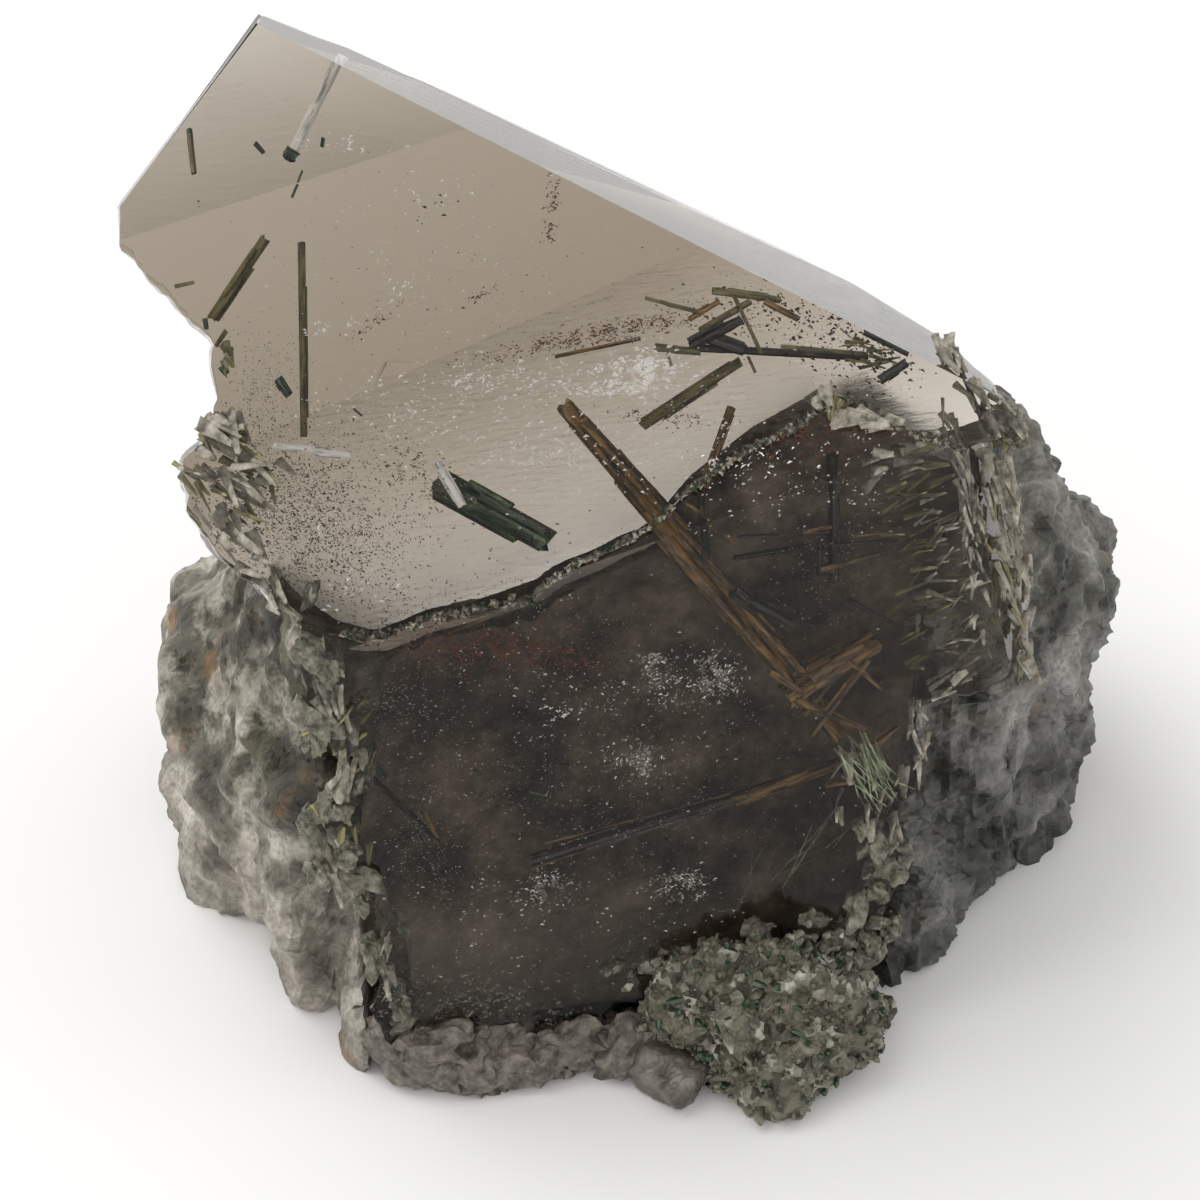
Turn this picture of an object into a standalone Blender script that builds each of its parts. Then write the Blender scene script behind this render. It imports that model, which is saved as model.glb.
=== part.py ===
# A quartz crystal with epidote prisms sealed in it, standing on its rock.
# Metres, +Z up. The origin is on the flat underside of the rock.
# The quartz is parted in two along a roof-shaped cut, so that each sealed prism lies in an open pocket.
import math
import bmesh
import bpy
from mathutils import Matrix, Vector, noise

# Driving dimensions, in millimetres
MM = 0.001
GAP = 0.35                # clearance between touching solids
FACE_LEAN = 45.0          # degrees that the big sloping face leans back from upright
FACE_HEIGHT = 56.0        # how far the face frame's origin lies from the floor line, along the sight line
BASE_BACK = 13.0          # how far the base centre lies behind the face frame's origin
SIGHT_DISTANCE = 400.0    # outlines below line up from this far in front of the big face
QUARTZ_IOR = 1.544        # bends the sight lines along which the sealed prisms are placed
SKIN = 3.0                # depth of the parting cut below the two front faces
ROCK_DEPTH = 4.6          # thickness of clear quartz in front of the rock, at the ledge
ROCK_RECEDES = 0.09       # how much thicker that gets for each millimetre down the front prism face
BACK_DEPTH = 31.0         # thickness of the crystal from its front prism face to its back prism face

# Face normals in the face frame: right along the big face, up along it, out of it
BIG_FACE = Vector((-0.010, 0.050, 0.9987)).normalized()
PRISM_FACE = Vector((0.186, -0.512, 0.839)).normalized()
SIDE_FACE = Vector((0.930, -0.015, 0.365)).normalized()
BEVEL_FACE = Vector((0.435, 0.874, 0.215)).normalized()
BACK_FACE = Vector((-0.05, 0.08, -0.995)).normalized()
UNDERSIDE = Vector((0.216, -0.527, -0.820)).normalized()
ROCK_TOP = Vector((-0.260, 0.933, 0.255)).normalized()
DOWN_PRISM_FACE = Vector((1.0, 0.0, 0.0)).cross(PRISM_FACE).normalized()
ROCK_FRONT = (PRISM_FACE + DOWN_PRISM_FACE * ROCK_RECEDES).normalized()
STRIATION = Vector((0.968, 0.249, 0.0)).normalized()

BIG_FACE_POINT = Vector((0.0, 8.0, 0.0))
PRISM_FACE_POINT = Vector((0.0, 3.5, -1.2))
SIDE_FACE_POINT = Vector((24.6, 3.0, -3.0))
BEVEL_FACE_POINT = Vector((-1.2, 27.6, -1.0))
BACK_FACE_POINT = Vector((0.0, 15.0, -20.5))
ROCK_FRONT_POINT = PRISM_FACE_POINT - PRISM_FACE * ROCK_DEPTH
UNDERSIDE_POINT = Vector((0.0, 4.2, -6.25))
ROCK_TOP_POINT = Vector((0.0, 4.2, -6.6))

# Outline of the head, whose lower edge is a broken ledge
HEAD_OUTLINE = [
    (-22.5, 39.0), (-31.9, 26.3), (-32.0, 23.7), (-29.0, 20.3), (-25.7, 17.0), (-25.6, 13.3),
    (-25.9, 11.5), (-28.0, 9.2), (-27.3, 6.0), (-25.8, 3.3), (-22.8, 0.7), (-20.0, -1.2),
    (-18.0, -2.3), (-14.3, -2.5), (-11.3, -1.3), (-8.7, -1.1), (-4.7, 0.0), (-2.3, 2.0),
    (3.3, 4.7), (6.0, 7.3), (10.0, 10.0), (13.7, 11.7), (14.7, 13.9), (16.7, 13.3),
    (20.3, 11.3), (23.7, 10.1), (27.3, 10.7), (28.1, 11.9), (25.7, 14.8), (23.0, 17.7),
    (21.7, 18.8), (-17.0, 37.0),
]

# Outline of the stem below it
STEM_OUTLINE = [
    (-19.6, 6.0), (-20.0, -2.7), (-19.6, -6.7), (-17.3, -11.0), (-18.3, -15.3), (-15.0, -19.3),
    (-14.1, -24.0), (-15.3, -27.3), (-13.3, -31.5), (-8.0, -34.0), (-0.7, -34.0), (7.0, -36.0),
    (12.5, -31.0), (16.4, -24.6), (20.2, -18.7), (19.5, -15.3), (21.0, -12.0), (21.1, -7.0),
    (25.7, -6.0), (28.6, -3.2), (28.4, 4.0), (26.4, 9.5), (19.5, 15.0), (-14.0, 15.0),
]

HEAD_FRONT = 4.0
HEAD_BACK = -36.0
STEM_FRONT = 3.0
STEM_BACK = -48.0
STEM_TOP_DEPTH = 2.0      # how far the stem's top stays below the big face, inside the head


# Places

def in_frame(place):
    """A point of the face frame, in millimetres, as a world point in metres."""
    lean = math.radians(FACE_LEAN)
    right, up, out = place
    y = up * math.sin(lean) - out * math.cos(lean) - BASE_BACK
    z = (up + FACE_HEIGHT) * math.cos(lean) + out * math.sin(lean)
    return Vector((right, y, z)) * MM


def turned(direction):
    """A direction of the face frame as a world direction."""
    return (in_frame(direction) - in_frame((0.0, 0.0, 0.0))).normalized()


def lined_up(right, up, out):
    """A point at depth out that lines up with (right, up) on the big face, seen from SIGHT_DISTANCE."""
    spread = (SIGHT_DISTANCE - out) / SIGHT_DISTANCE
    return Vector((right * spread, up * spread, out))


# Scene and collections

def clear_scene():
    for obj in list(bpy.data.objects):
        bpy.data.objects.remove(obj)


def new_collection(name):
    collection = bpy.data.collections.new(name)
    bpy.context.scene.collection.children.link(collection)
    return collection


clear_scene()
SPECIMEN = new_collection("epidote_in_quartz")
CUTTERS = new_collection("cutters")
POCKETS = bpy.data.collections.new("needle_pockets")
CUTTERS.children.link(POCKETS)


def put(bm, name, collection):
    """Turns a bmesh into an object of a collection."""
    bmesh.ops.remove_doubles(bm, verts=bm.verts, dist=0.00002)
    bmesh.ops.recalc_face_normals(bm, faces=bm.faces)
    mesh = bpy.data.meshes.new(name)
    bm.to_mesh(mesh)
    bm.free()
    obj = bpy.data.objects.new(name, mesh)
    collection.objects.link(obj)
    if collection is not SPECIMEN:
        obj.hide_render = True
        obj.display_type = "WIRE"
    return obj


def material(name, colour, roughness, transmission=0.0):
    made = bpy.data.materials.new(name)
    made.use_nodes = True
    shader = made.node_tree.nodes["Principled BSDF"]
    shader.inputs["Base Color"].default_value = (*colour, 1.0)
    shader.inputs["Roughness"].default_value = roughness
    shader.inputs["Metallic"].default_value = 0.0
    shader.inputs["Transmission Weight"].default_value = transmission
    return made


SMOKY_QUARTZ = material("smoky_quartz", (0.42, 0.36, 0.31), 0.05, 0.6)
MATRIX_ROCK = material("matrix_rock", (0.21, 0.20, 0.17), 0.6)
MILKY_QUARTZ = material("milky_quartz", (0.38, 0.36, 0.31), 0.45)
GREEN_CRUST = material("green_crust", (0.16, 0.17, 0.10), 0.6)
EPIDOTE = material("epidote", (0.07, 0.06, 0.025), 0.25)
RUSTY_EPIDOTE = material("rusty_epidote", (0.20, 0.085, 0.03), 0.4)


def finish(obj, look):
    obj.data.materials.clear()
    obj.data.materials.append(look)
    for face in obj.data.polygons:
        face.use_smooth = False
    return obj


# Cutting

def cut(bm, point, normal):
    """Cuts away what lies beyond a plane and closes the cut."""
    geometry = bm.verts[:] + bm.edges[:] + bm.faces[:]
    done = bmesh.ops.bisect_plane(
        bm, geom=geometry, dist=1e-7, plane_co=point, plane_no=normal, clear_outer=True
    )
    rim = [item for item in done["geom_cut"] if isinstance(item, bmesh.types.BMEdge)]
    if rim:
        bmesh.ops.holes_fill(bm, edges=rim, sides=0)


def cut_face(bm, point, normal, grow=0.0):
    """The same cut for a plane of the face frame, moved outwards by grow."""
    cut(bm, in_frame(Vector(point) + Vector(normal) * grow), turned(normal))


def grown(outline, grow):
    """An outline whose corners are moved outwards by grow."""
    count = len(outline)
    area = sum(
        outline[i][0] * outline[(i + 1) % count][1] - outline[(i + 1) % count][0] * outline[i][1]
        for i in range(count)
    )
    side = 1.0 if area > 0 else -1.0
    moved = []
    for i in range(count):
        before = Vector(outline[i]) - Vector(outline[i - 1])
        after = Vector(outline[(i + 1) % count]) - Vector(outline[i])
        along = (before.normalized() + after.normalized()).normalized()
        moved.append(Vector(outline[i]) + Vector((along.y, -along.x)) * side * grow)
    return moved


def drawn_back(outline, front, back, grow=0.0):
    """A closed block whose outline is drawn straight back along the sight lines."""
    bm = bmesh.new()
    rim = [bm.verts.new(in_frame(lined_up(x, y, front))) for x, y in grown(outline, grow)]
    face = bm.faces.new(rim)
    extruded = bmesh.ops.extrude_face_region(bm, geom=[face])
    ends = [item for item in extruded["geom"] if isinstance(item, bmesh.types.BMVert)]
    eye = in_frame((0.0, 0.0, SIGHT_DISTANCE))
    reach = (SIGHT_DISTANCE - back) / (SIGHT_DISTANCE - front)
    for vert in ends:
        vert.co = eye + (vert.co - eye) * reach
    return bm


def with_modifiers(obj, name, collection):
    """The evaluated mesh of an object as a new plain object, in place of the old one."""
    bpy.context.view_layer.update()
    graph = bpy.context.evaluated_depsgraph_get()
    mesh = bpy.data.meshes.new_from_object(obj.evaluated_get(graph))
    made = bpy.data.objects.new(name, mesh)
    collection.objects.link(made)
    bpy.data.objects.remove(obj)
    if collection is not SPECIMEN:
        made.hide_render = True
        made.display_type = "WIRE"
    return made


THINNEST = 0.000002       # metres: slivers thinner than this are dissolved


def keep_largest(obj):
    """Leaves only the largest connected body of a mesh, without the crumbs that a cut broke off."""
    bm = bmesh.new()
    bm.from_mesh(obj.data)
    unseen = set(bm.verts)
    bodies = []
    while unseen:
        edge_of_body = [unseen.pop()]
        body = set(edge_of_body)
        while edge_of_body:
            for edge in edge_of_body.pop().link_edges:
                for vert in edge.verts:
                    if vert in unseen:
                        unseen.discard(vert)
                        body.add(vert)
                        edge_of_body.append(vert)
        bodies.append(body)
    bodies.sort(key=len)
    crumbs = [vert for body in bodies[:-1] for vert in body]
    bmesh.ops.delete(bm, geom=crumbs, context="VERTS")
    bmesh.ops.dissolve_degenerate(bm, dist=THINNEST, edges=bm.edges)
    bm.to_mesh(obj.data)
    bm.free()
    return obj


def boolean(obj, other, operation):
    modifier = obj.modifiers.new(operation.lower(), "BOOLEAN")
    modifier.operation = operation
    modifier.solver = "EXACT"
    if isinstance(other, bpy.types.Collection):
        modifier.operand_type = "COLLECTION"
        modifier.collection = other
    else:
        modifier.object = other
    return modifier


# Grooves that etching has cut into the quartz

def between(start, end):
    """The placement that lays a shape modelled along Z from one world point to another."""
    along = end - start
    return Matrix.Translation((start + end) / 2) @ along.to_track_quat("Z", "Y").to_matrix().to_4x4()


def groove(bm, start, end, width):
    """A long three-sided wedge that narrows from one point of the face frame to another."""
    start, end = in_frame(start), in_frame(end)
    made = bmesh.ops.create_cone(
        bm,
        cap_ends=True,
        segments=3,
        radius1=width * MM,
        radius2=width * GROOVE_TAPER * MM,
        depth=(end - start).length,
    )
    bmesh.ops.transform(bm, matrix=between(start, end), verts=made["verts"])


def prism_face_depth(right, up):
    """How deep the front prism face lies where it lines up with (right, up)."""
    depth = 0.0
    for _ in range(4):
        spot = lined_up(right, up, depth)
        rest = PRISM_FACE.x * (spot.x - PRISM_FACE_POINT.x) + PRISM_FACE.y * (spot.y - PRISM_FACE_POINT.y)
        depth = PRISM_FACE_POINT.z - rest / PRISM_FACE.z
    return depth


def big_face_depth(right, up):
    """How deep the big face lies at (right, up)."""
    rest = BIG_FACE.x * (right - BIG_FACE_POINT.x) + BIG_FACE.y * (up - BIG_FACE_POINT.y)
    return BIG_FACE_POINT.z - rest / BIG_FACE.z


GROOVE_TAPER = 0.45       # width of a groove's far end against its near end
RIGHT_GROOVES = 8         # etched grooves along the right edge of the prism face
RIGHT_FIRST = Vector((25.9, 7.6))
RIGHT_LAST = Vector((27.1, -4.6))
RIGHT_REACH = (4.5, 8.0)  # shortest and longest groove
RIGHT_WIDTH = (0.46, 0.78)
LEFT_GROOVES = 4          # etched grooves in the torn left edge of the big face
LEFT_FIRST = Vector((-28.6, 7.0, 0.5))
LEFT_STEP = Vector((1.1, 2.2, 0.0))
LEFT_RUN = Vector((8.0, -6.8, -0.3))
LEFT_WIDTH = 0.8


def waved(low, high, phase):
    """A value between low and high that wanders as phase grows."""
    return low + (high - low) * (0.5 + 0.5 * math.sin(phase))


def on_prism_face(spot, above):
    """The point above the front prism face that lines up with a spot on the big face."""
    return lined_up(spot.x, spot.y, prism_face_depth(spot.x, spot.y) + above)


def right_grooves():
    bm = bmesh.new()
    for i in range(RIGHT_GROOVES):
        outer = RIGHT_FIRST.lerp(RIGHT_LAST, i / (RIGHT_GROOVES - 1))
        inner = outer - STRIATION.to_2d() * waved(*RIGHT_REACH, 2.4 * i + 1.0)
        width = waved(*RIGHT_WIDTH, 3.1 * i)
        groove(bm, on_prism_face(outer, 0.1), on_prism_face(inner, 0.25), width)
    return put(bm, "right_grooves", CUTTERS)


def left_grooves():
    bm = bmesh.new()
    for i in range(LEFT_GROOVES):
        start = LEFT_FIRST + LEFT_STEP * i
        groove(bm, start, start + LEFT_RUN, LEFT_WIDTH)
    return put(bm, "left_grooves", CUTTERS)


# The clear crystal

CUTTER_SIZE = 0.3         # metres, well beyond the crystal on every side
BELOW_FLOOR = -0.002      # metres: where the room kept for the crystal ends, below the cut of its neighbours
FLAT_ENOUGH = 0.0005      # radians between faces that count as one


def head(grow):
    bm = drawn_back(HEAD_OUTLINE, HEAD_FRONT, HEAD_BACK, grow)
    cut_face(bm, BIG_FACE_POINT, BIG_FACE, grow)
    cut_face(bm, BEVEL_FACE_POINT, BEVEL_FACE, grow)
    cut_face(bm, BACK_FACE_POINT, BACK_FACE, grow)
    return put(bm, "head", CUTTERS)


def stem(grow):
    bm = drawn_back(STEM_OUTLINE, STEM_FRONT, STEM_BACK, grow)
    cut_face(bm, PRISM_FACE_POINT, PRISM_FACE, grow)
    cut_face(bm, SIDE_FACE_POINT, SIDE_FACE, grow)
    cut_face(bm, BIG_FACE_POINT - BIG_FACE * STEM_TOP_DEPTH, BIG_FACE, grow)
    return put(bm, "stem", CUTTERS)


def rock_wedge(name, grow):
    """The space that the crystal leaves to the rock: behind the front plate and below the head."""
    bm = bmesh.new()
    bmesh.ops.create_cube(bm, size=CUTTER_SIZE)
    cut_face(bm, ROCK_FRONT_POINT, ROCK_FRONT, grow)
    cut_face(bm, UNDERSIDE_POINT, -UNDERSIDE, grow)
    return put(bm, name, CUTTERS)


def crystal(name, grow, floor):
    """Head and stem joined, cut back to the back prism face and at the floor's height, in metres."""
    whole = head(grow)
    lower = stem(grow)
    boolean(whole, lower, "UNION")
    whole = with_modifiers(whole, name, CUTTERS)
    bpy.data.objects.remove(lower)
    bm = bmesh.new()
    bm.from_mesh(whole.data)
    cut_face(bm, PRISM_FACE_POINT - PRISM_FACE * BACK_DEPTH, -PRISM_FACE, grow)
    cut(bm, (0.0, 0.0, floor), (0.0, 0.0, -1.0))
    bmesh.ops.dissolve_limit(bm, angle_limit=FLAT_ENOUGH, verts=bm.verts, edges=bm.edges)
    bm.to_mesh(whole.data)
    bm.free()
    return whole


def parting_wedge(name, grow):
    """What lies deeper than SKIN below both front faces."""
    bm = bmesh.new()
    bmesh.ops.create_cube(bm, size=CUTTER_SIZE)
    cut_face(bm, BIG_FACE_POINT - BIG_FACE * SKIN, BIG_FACE, grow)
    cut_face(bm, PRISM_FACE_POINT - PRISM_FACE * SKIN, PRISM_FACE, grow)
    return put(bm, name, CUTTERS)


# The sealed epidote prisms

PRISM_ROLL = 20.0         # degrees that a prism is turned about its own length
PRISM_TAPER = 0.94        # width of a prism's far end against its near end


def prism(bm, start, end, width, flatness, roll):
    """A straight six-sided prism between two points of the face frame, with blunt ends."""
    start, end = in_frame(start), in_frame(end)
    radius = width / 2 * MM
    length = (end - start).length
    made = bmesh.ops.create_cone(
        bm, cap_ends=True, segments=6, radius1=radius, radius2=radius * PRISM_TAPER, depth=length
    )
    squeeze = Matrix.Rotation(math.radians(roll), 4, "Z") @ Matrix.Diagonal((1.0, flatness, 1.0, 1.0))
    bmesh.ops.transform(bm, matrix=between(start, end) @ squeeze, verts=made["verts"])


def sight_inside(face):
    """The sight line after it has bent into the quartz through a face."""
    bend = 1.0 / QUARTZ_IOR
    steepness = math.sqrt(1.0 - bend**2 * (1.0 - face.z**2))
    return Vector((0.0, 0.0, -bend)) + face * (bend * face.z - steepness)


def below_face(entry, face, below):
    """The point at a depth below a face that is seen where the sight line enters."""
    inside = sight_inside(face)
    return entry - inside * (below / inside.dot(face))


def under_big_face(right, up, below):
    return below_face(lined_up(right, up, big_face_depth(right, up)), BIG_FACE, below)


def under_prism_face(right, up, below):
    return below_face(lined_up(right, up, prism_face_depth(right, up)), PRISM_FACE, below)


# Each row: name, the face it is seen through, its two ends (right, up, depth below that face),
# width, flatness and look
NEEDLES = [
    ("upright_needle", under_big_face, (-20.0, 24.0, 2.8), (-19.9, 11.0, 4.8), 0.62, 0.9, EPIDOTE),
    ("left_prism", under_big_face, (-22.4, 24.2, 2.6), (-26.1, 18.9, 4.6), 1.0, 0.7, EPIDOTE),
    ("tip_tube", under_big_face, (-17.6, 36.3, 4.9), (-20.6, 30.0, 2.8), 0.95, 0.8, EPIDOTE),
    ("edge_needle", under_big_face, (-27.6, 31.6, 4.7), (-27.2, 28.6, 2.9), 0.5, 0.9, EPIDOTE),
    ("stubby_prism", under_big_face, (-10.8, 8.0, 4.6), (-3.4, 3.9, 2.5), 2.1, 0.65, EPIDOTE),
    ("cross_needle", under_big_face, (6.4, 16.9, 2.8), (18.0, 16.3, 4.8), 0.6, 0.9, EPIDOTE),
    ("olive_prism", under_big_face, (2.8, 11.7, 4.9), (9.4, 16.0, 3.2), 0.9, 0.7, EPIDOTE),
    ("short_prism", under_big_face, (8.8, 12.9, 2.6), (6.9, 7.6, 4.0), 0.8, 0.8, RUSTY_EPIDOTE),
    ("dark_post", under_prism_face, (15.7, 9.3, 2.0), (15.7, 1.2, 3.3), 0.95, 0.8, EPIDOTE),
    ("level_needle", under_prism_face, (9.0, 2.8, 2.3), (13.9, 3.6, 3.5), 0.6, 0.9, EPIDOTE),
    ("lower_prism", under_prism_face, (-4.6, -17.4, 2.3), (17.6, -10.6, 4.2), 1.25, 0.75, EPIDOTE),
    ("left_spray", under_prism_face, (-15.6, -11.6, 2.3), (-10.8, -16.2, 4.2), 0.6, 0.9, EPIDOTE),
]

# The crossed prisms, grown through each other: ends, width, flatness
CROSSED = [
    (under_big_face(-2.4, 13.0, 0.9), under_prism_face(16.0, -9.2, 2.2), 1.5, 0.7),
    (under_big_face(-1.1, 12.0, 1.1), under_prism_face(13.8, -5.0, 2.7), 1.0, 0.7),
    (under_prism_face(12.4, -6.4, 1.9), under_prism_face(18.4, -2.7, 3.1), 2.5, 0.35),
    (under_prism_face(13.6, -7.6, 1.9), under_prism_face(17.4, -2.9, 3.6), 0.9, 0.6),
]
CROSSED_ROLL = 7.0        # degrees from one crossed prism's flat side to the next one's
POCKET_ROOM = 2.2 * GAP   # how much wider a pocket is than its prism


def joined(shapes, name, collection):
    """Overlapping shapes as one solid."""
    first = shapes[0]
    for other in shapes[1:]:
        boolean(first, other, "UNION")
    made = with_modifiers(first, name, collection)
    for other in shapes[1:]:
        bpy.data.objects.remove(other)
    return made


def pocket(name, start, end, width, flatness, roll):
    """The space that the quartz keeps free around a prism."""
    along = (end - start).normalized()
    wide = width + POCKET_ROOM
    thick = width * flatness + POCKET_ROOM
    bm = bmesh.new()
    prism(bm, start - along * GAP, end + along * GAP, wide, thick / wide, roll)
    put(bm, name, POCKETS)


def sealed_needle(name, seen_through, start, end, width, flatness, look):
    start = seen_through(*start)
    end = seen_through(*end)
    bm = bmesh.new()
    prism(bm, start, end, width, flatness, PRISM_ROLL)
    finish(put(bm, "epidote_" + name, SPECIMEN), look)
    pocket(name + "_pocket", start, end, width, flatness, PRISM_ROLL)


def crossed_prisms():
    """The four crossed prisms as one solid, and one pocket for each."""
    shapes = []
    for number, (start, end, width, flatness) in enumerate(CROSSED):
        roll = PRISM_ROLL + CROSSED_ROLL * number
        bm = bmesh.new()
        prism(bm, start, end, width, flatness, roll)
        shapes.append(put(bm, f"crossed_{number}", CUTTERS))
        pocket(f"crossed_pocket_{number}", start, end, width, flatness, roll)
    finish(joined(shapes, "epidote_crossed_prisms", SPECIMEN), RUSTY_EPIDOTE)


# The rough masses around the crystal

def craggy(point, seed, size, ledge):
    """Height of a broken surface, from -1 to 1: rounded lumps with a few flat ledges."""
    spot = Vector(point) / size + Vector((seed, seed * 0.37, -seed * 0.61))
    lumps = noise.fractal(spot, 1.0, 2.1, 4, noise_basis="PERLIN_ORIGINAL")
    steps = round(lumps * 4.0) / 4.0
    return lumps * (1.0 - ledge) + steps * ledge


def knobs(point, seed, size):
    """Rounded knobs with creases between them, from 0 in a crease to about 1."""
    spot = Vector(point) / size + Vector((seed, -seed, seed * 0.5))
    near = noise.voronoi(spot)[0][0]
    return 1.0 - min(1.0, near * 1.3)


KNOB_SIZE = 0.62          # size of a knob against that of the lumps


def lump(centre, radii, seed, rough, ledge, knob, size=9.0, detail=4):
    """A rough rounded mass, in world millimetres, that bulges by rough and knob millimetres."""
    bm = bmesh.new()
    bmesh.ops.create_icosphere(bm, subdivisions=detail, radius=1.0)
    for vert in bm.verts:
        out = vert.co.normalized()
        place = Vector(centre) + Vector((out.x * radii[0], out.y * radii[1], out.z * radii[2]))
        bulge = rough * craggy(place, seed, size, ledge) + knob * knobs(place, seed, size * KNOB_SIZE)
        vert.co = (place + out * bulge) * MM
    return bm


def rough_piece(name, shapes, look, cutters):
    """Shapes grown together in one solid, cut flat at the floor and by other shapes."""
    whole = joined(shapes, name + "_whole", CUTTERS)
    bm = bmesh.new()
    bm.from_mesh(whole.data)
    cut(bm, (0.0, 0.0, 0.0), (0.0, 0.0, -1.0))
    bm.to_mesh(whole.data)
    bm.free()
    for cutter in cutters:
        boolean(whole, cutter, "DIFFERENCE")
    piece = with_modifiers(whole, name, SPECIMEN)
    return finish(keep_largest(piece), look)


HOLLOW_RADIUS = 110.0     # the matrix has a shallow hollow of this radius behind the crystal
CRUST_BACK = -10.5        # how far back the crust at the foot reaches, in world y
CHIP_START = (-0.6, -29.2, -24.3)    # the small quartz chip at the foot, in the face frame
CHIP_END = (6.6, -34.4, -19.8)
CHIP_WIDTH = 4.6
CHIP_FLATNESS = 0.75
CHIP_ROLL = 10.0


def rock_under_crystal():
    """The middle of the matrix: behind the front plate, and hollow above so that light reaches the head."""
    bm = lump((1.0, 0.0, 6.0), (27.0, 22.0, 42.0), seed=3.1, rough=3.0, ledge=0.5, knob=2.0)
    cut_face(bm, ROCK_FRONT_POINT - ROCK_FRONT * GAP, ROCK_FRONT)
    rock = put(bm, "rock_blank", CUTTERS)
    middle = in_frame(ROCK_TOP_POINT) / MM + turned(ROCK_TOP) * HOLLOW_RADIUS
    radii = (HOLLOW_RADIUS, HOLLOW_RADIUS, HOLLOW_RADIUS)
    hollow = lump(middle, radii, seed=6.6, rough=0.8, ledge=0.5, knob=0.5, size=7.0, detail=6)
    boolean(rock, put(hollow, "rock_hollow", CUTTERS), "DIFFERENCE")
    return with_modifiers(rock, "rock_under_crystal", CUTTERS)


def matrix_lobes():
    """The milky mass at the left, the etched one at the right with its shoulder, and the foot of each."""
    lobes = [
        lump((-18.8, 6.0, 7.8), (12.0, 14.5, 15.2), seed=4.4, rough=1.8, ledge=0.2, knob=1.8, size=7.0),
        lump((-14.0, -9.2, 2.5), (5.2, 10.2, 6.8), seed=2.3, rough=1.2, ledge=0.2, knob=1.2, size=5.0),
        lump((22.6, 9.4, 13.2), (12.2, 12.6, 22.6), seed=5.7, rough=1.8, ledge=0.7, knob=1.8, size=7.0),
        lump((14.0, 7.0, 29.0), (9.0, 9.0, 12.5), seed=3.8, rough=1.4, ledge=0.6, knob=1.2, size=6.0),
        lump((16.0, 0.6, 3.0), (9.6, 13.0, 12.0), seed=7.7, rough=1.6, ledge=0.5, knob=1.6, size=7.0),
    ]
    return [put(bm, "matrix_lobe", CUTTERS) for bm in lobes]


def chip_prism(wider):
    bm = bmesh.new()
    prism(bm, CHIP_START, CHIP_END, CHIP_WIDTH + wider, CHIP_FLATNESS, CHIP_ROLL)
    return put(bm, "chip_prism", CUTTERS)


def crust_lump():
    """The knobbly epidote crust in front of the crystal's foot."""
    bm = lump((10.8, -17.2, 2.0), (8.0, 6.4, 7.0), seed=1.9, rough=1.2, ledge=0.3, knob=1.0, size=5.0)
    cut(bm, (0.0, CRUST_BACK * MM, 0.0), (0.0, 1.0, 0.0))
    return put(bm, "crust_lump", CUTTERS)


def quartz_halves(clear):
    """The crystal in two, each with the pockets that its side of the sealed prisms needs."""
    behind = bpy.data.objects.new("crystal_behind", clear.data.copy())
    CUTTERS.objects.link(behind)
    boolean(clear, parting_wedge("parting_front", GAP), "DIFFERENCE")
    boolean(behind, parting_wedge("parting_back", 0.0), "INTERSECT")
    for half, name in ((clear, "quartz_crystal_front"), (behind, "quartz_crystal_back")):
        boolean(half, POCKETS, "DIFFERENCE")
        finish(keep_largest(with_modifiers(half, name, SPECIMEN)), SMOKY_QUARTZ)


def build():
    for row in NEEDLES:
        sealed_needle(*row)
    crossed_prisms()

    solid = crystal("whole_crystal", 0.0, 0.0)
    boolean(solid, rock_wedge("rock_room", GAP), "DIFFERENCE")
    boolean(solid, right_grooves(), "DIFFERENCE")
    boolean(solid, left_grooves(), "DIFFERENCE")
    quartz_halves(with_modifiers(solid, "clear_crystal", CUTTERS))

    room = crystal("crystal_room", GAP, BELOW_FLOOR)
    boolean(room, rock_wedge("rock_space", 0.0), "DIFFERENCE")
    rough_piece("matrix", [rock_under_crystal()] + matrix_lobes(), MATRIX_ROCK, [room])
    rough_piece("quartz_chip", [chip_prism(0.0)], MILKY_QUARTZ, [room])
    rough_piece("epidote_crust", [crust_lump()], GREEN_CRUST, [room, chip_prism(3.0 * GAP)])


build()
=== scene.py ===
import math
import random
import bmesh
import bpy
import numpy
from mathutils import Matrix, Vector, noise


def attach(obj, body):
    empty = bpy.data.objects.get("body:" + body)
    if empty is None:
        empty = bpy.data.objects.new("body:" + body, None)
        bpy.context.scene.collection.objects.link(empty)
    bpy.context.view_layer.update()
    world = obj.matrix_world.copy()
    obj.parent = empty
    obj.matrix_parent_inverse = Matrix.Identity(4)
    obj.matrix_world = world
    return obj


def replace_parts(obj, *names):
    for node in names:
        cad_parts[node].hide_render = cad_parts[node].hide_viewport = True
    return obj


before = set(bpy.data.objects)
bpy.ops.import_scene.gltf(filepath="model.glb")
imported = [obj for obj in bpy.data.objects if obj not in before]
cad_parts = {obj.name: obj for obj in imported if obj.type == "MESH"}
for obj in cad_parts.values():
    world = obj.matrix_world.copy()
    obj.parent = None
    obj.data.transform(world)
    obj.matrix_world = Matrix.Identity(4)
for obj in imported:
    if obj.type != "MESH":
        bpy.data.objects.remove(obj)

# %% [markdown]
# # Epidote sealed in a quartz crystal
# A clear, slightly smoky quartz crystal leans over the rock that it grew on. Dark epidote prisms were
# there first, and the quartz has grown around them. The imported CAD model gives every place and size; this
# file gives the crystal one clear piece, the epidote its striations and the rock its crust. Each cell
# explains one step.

MM = 0.001
NOISE_SEED = 1            # without one, the noise vectors would differ from run to run
noise.seed_set(NOISE_SEED)
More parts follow.
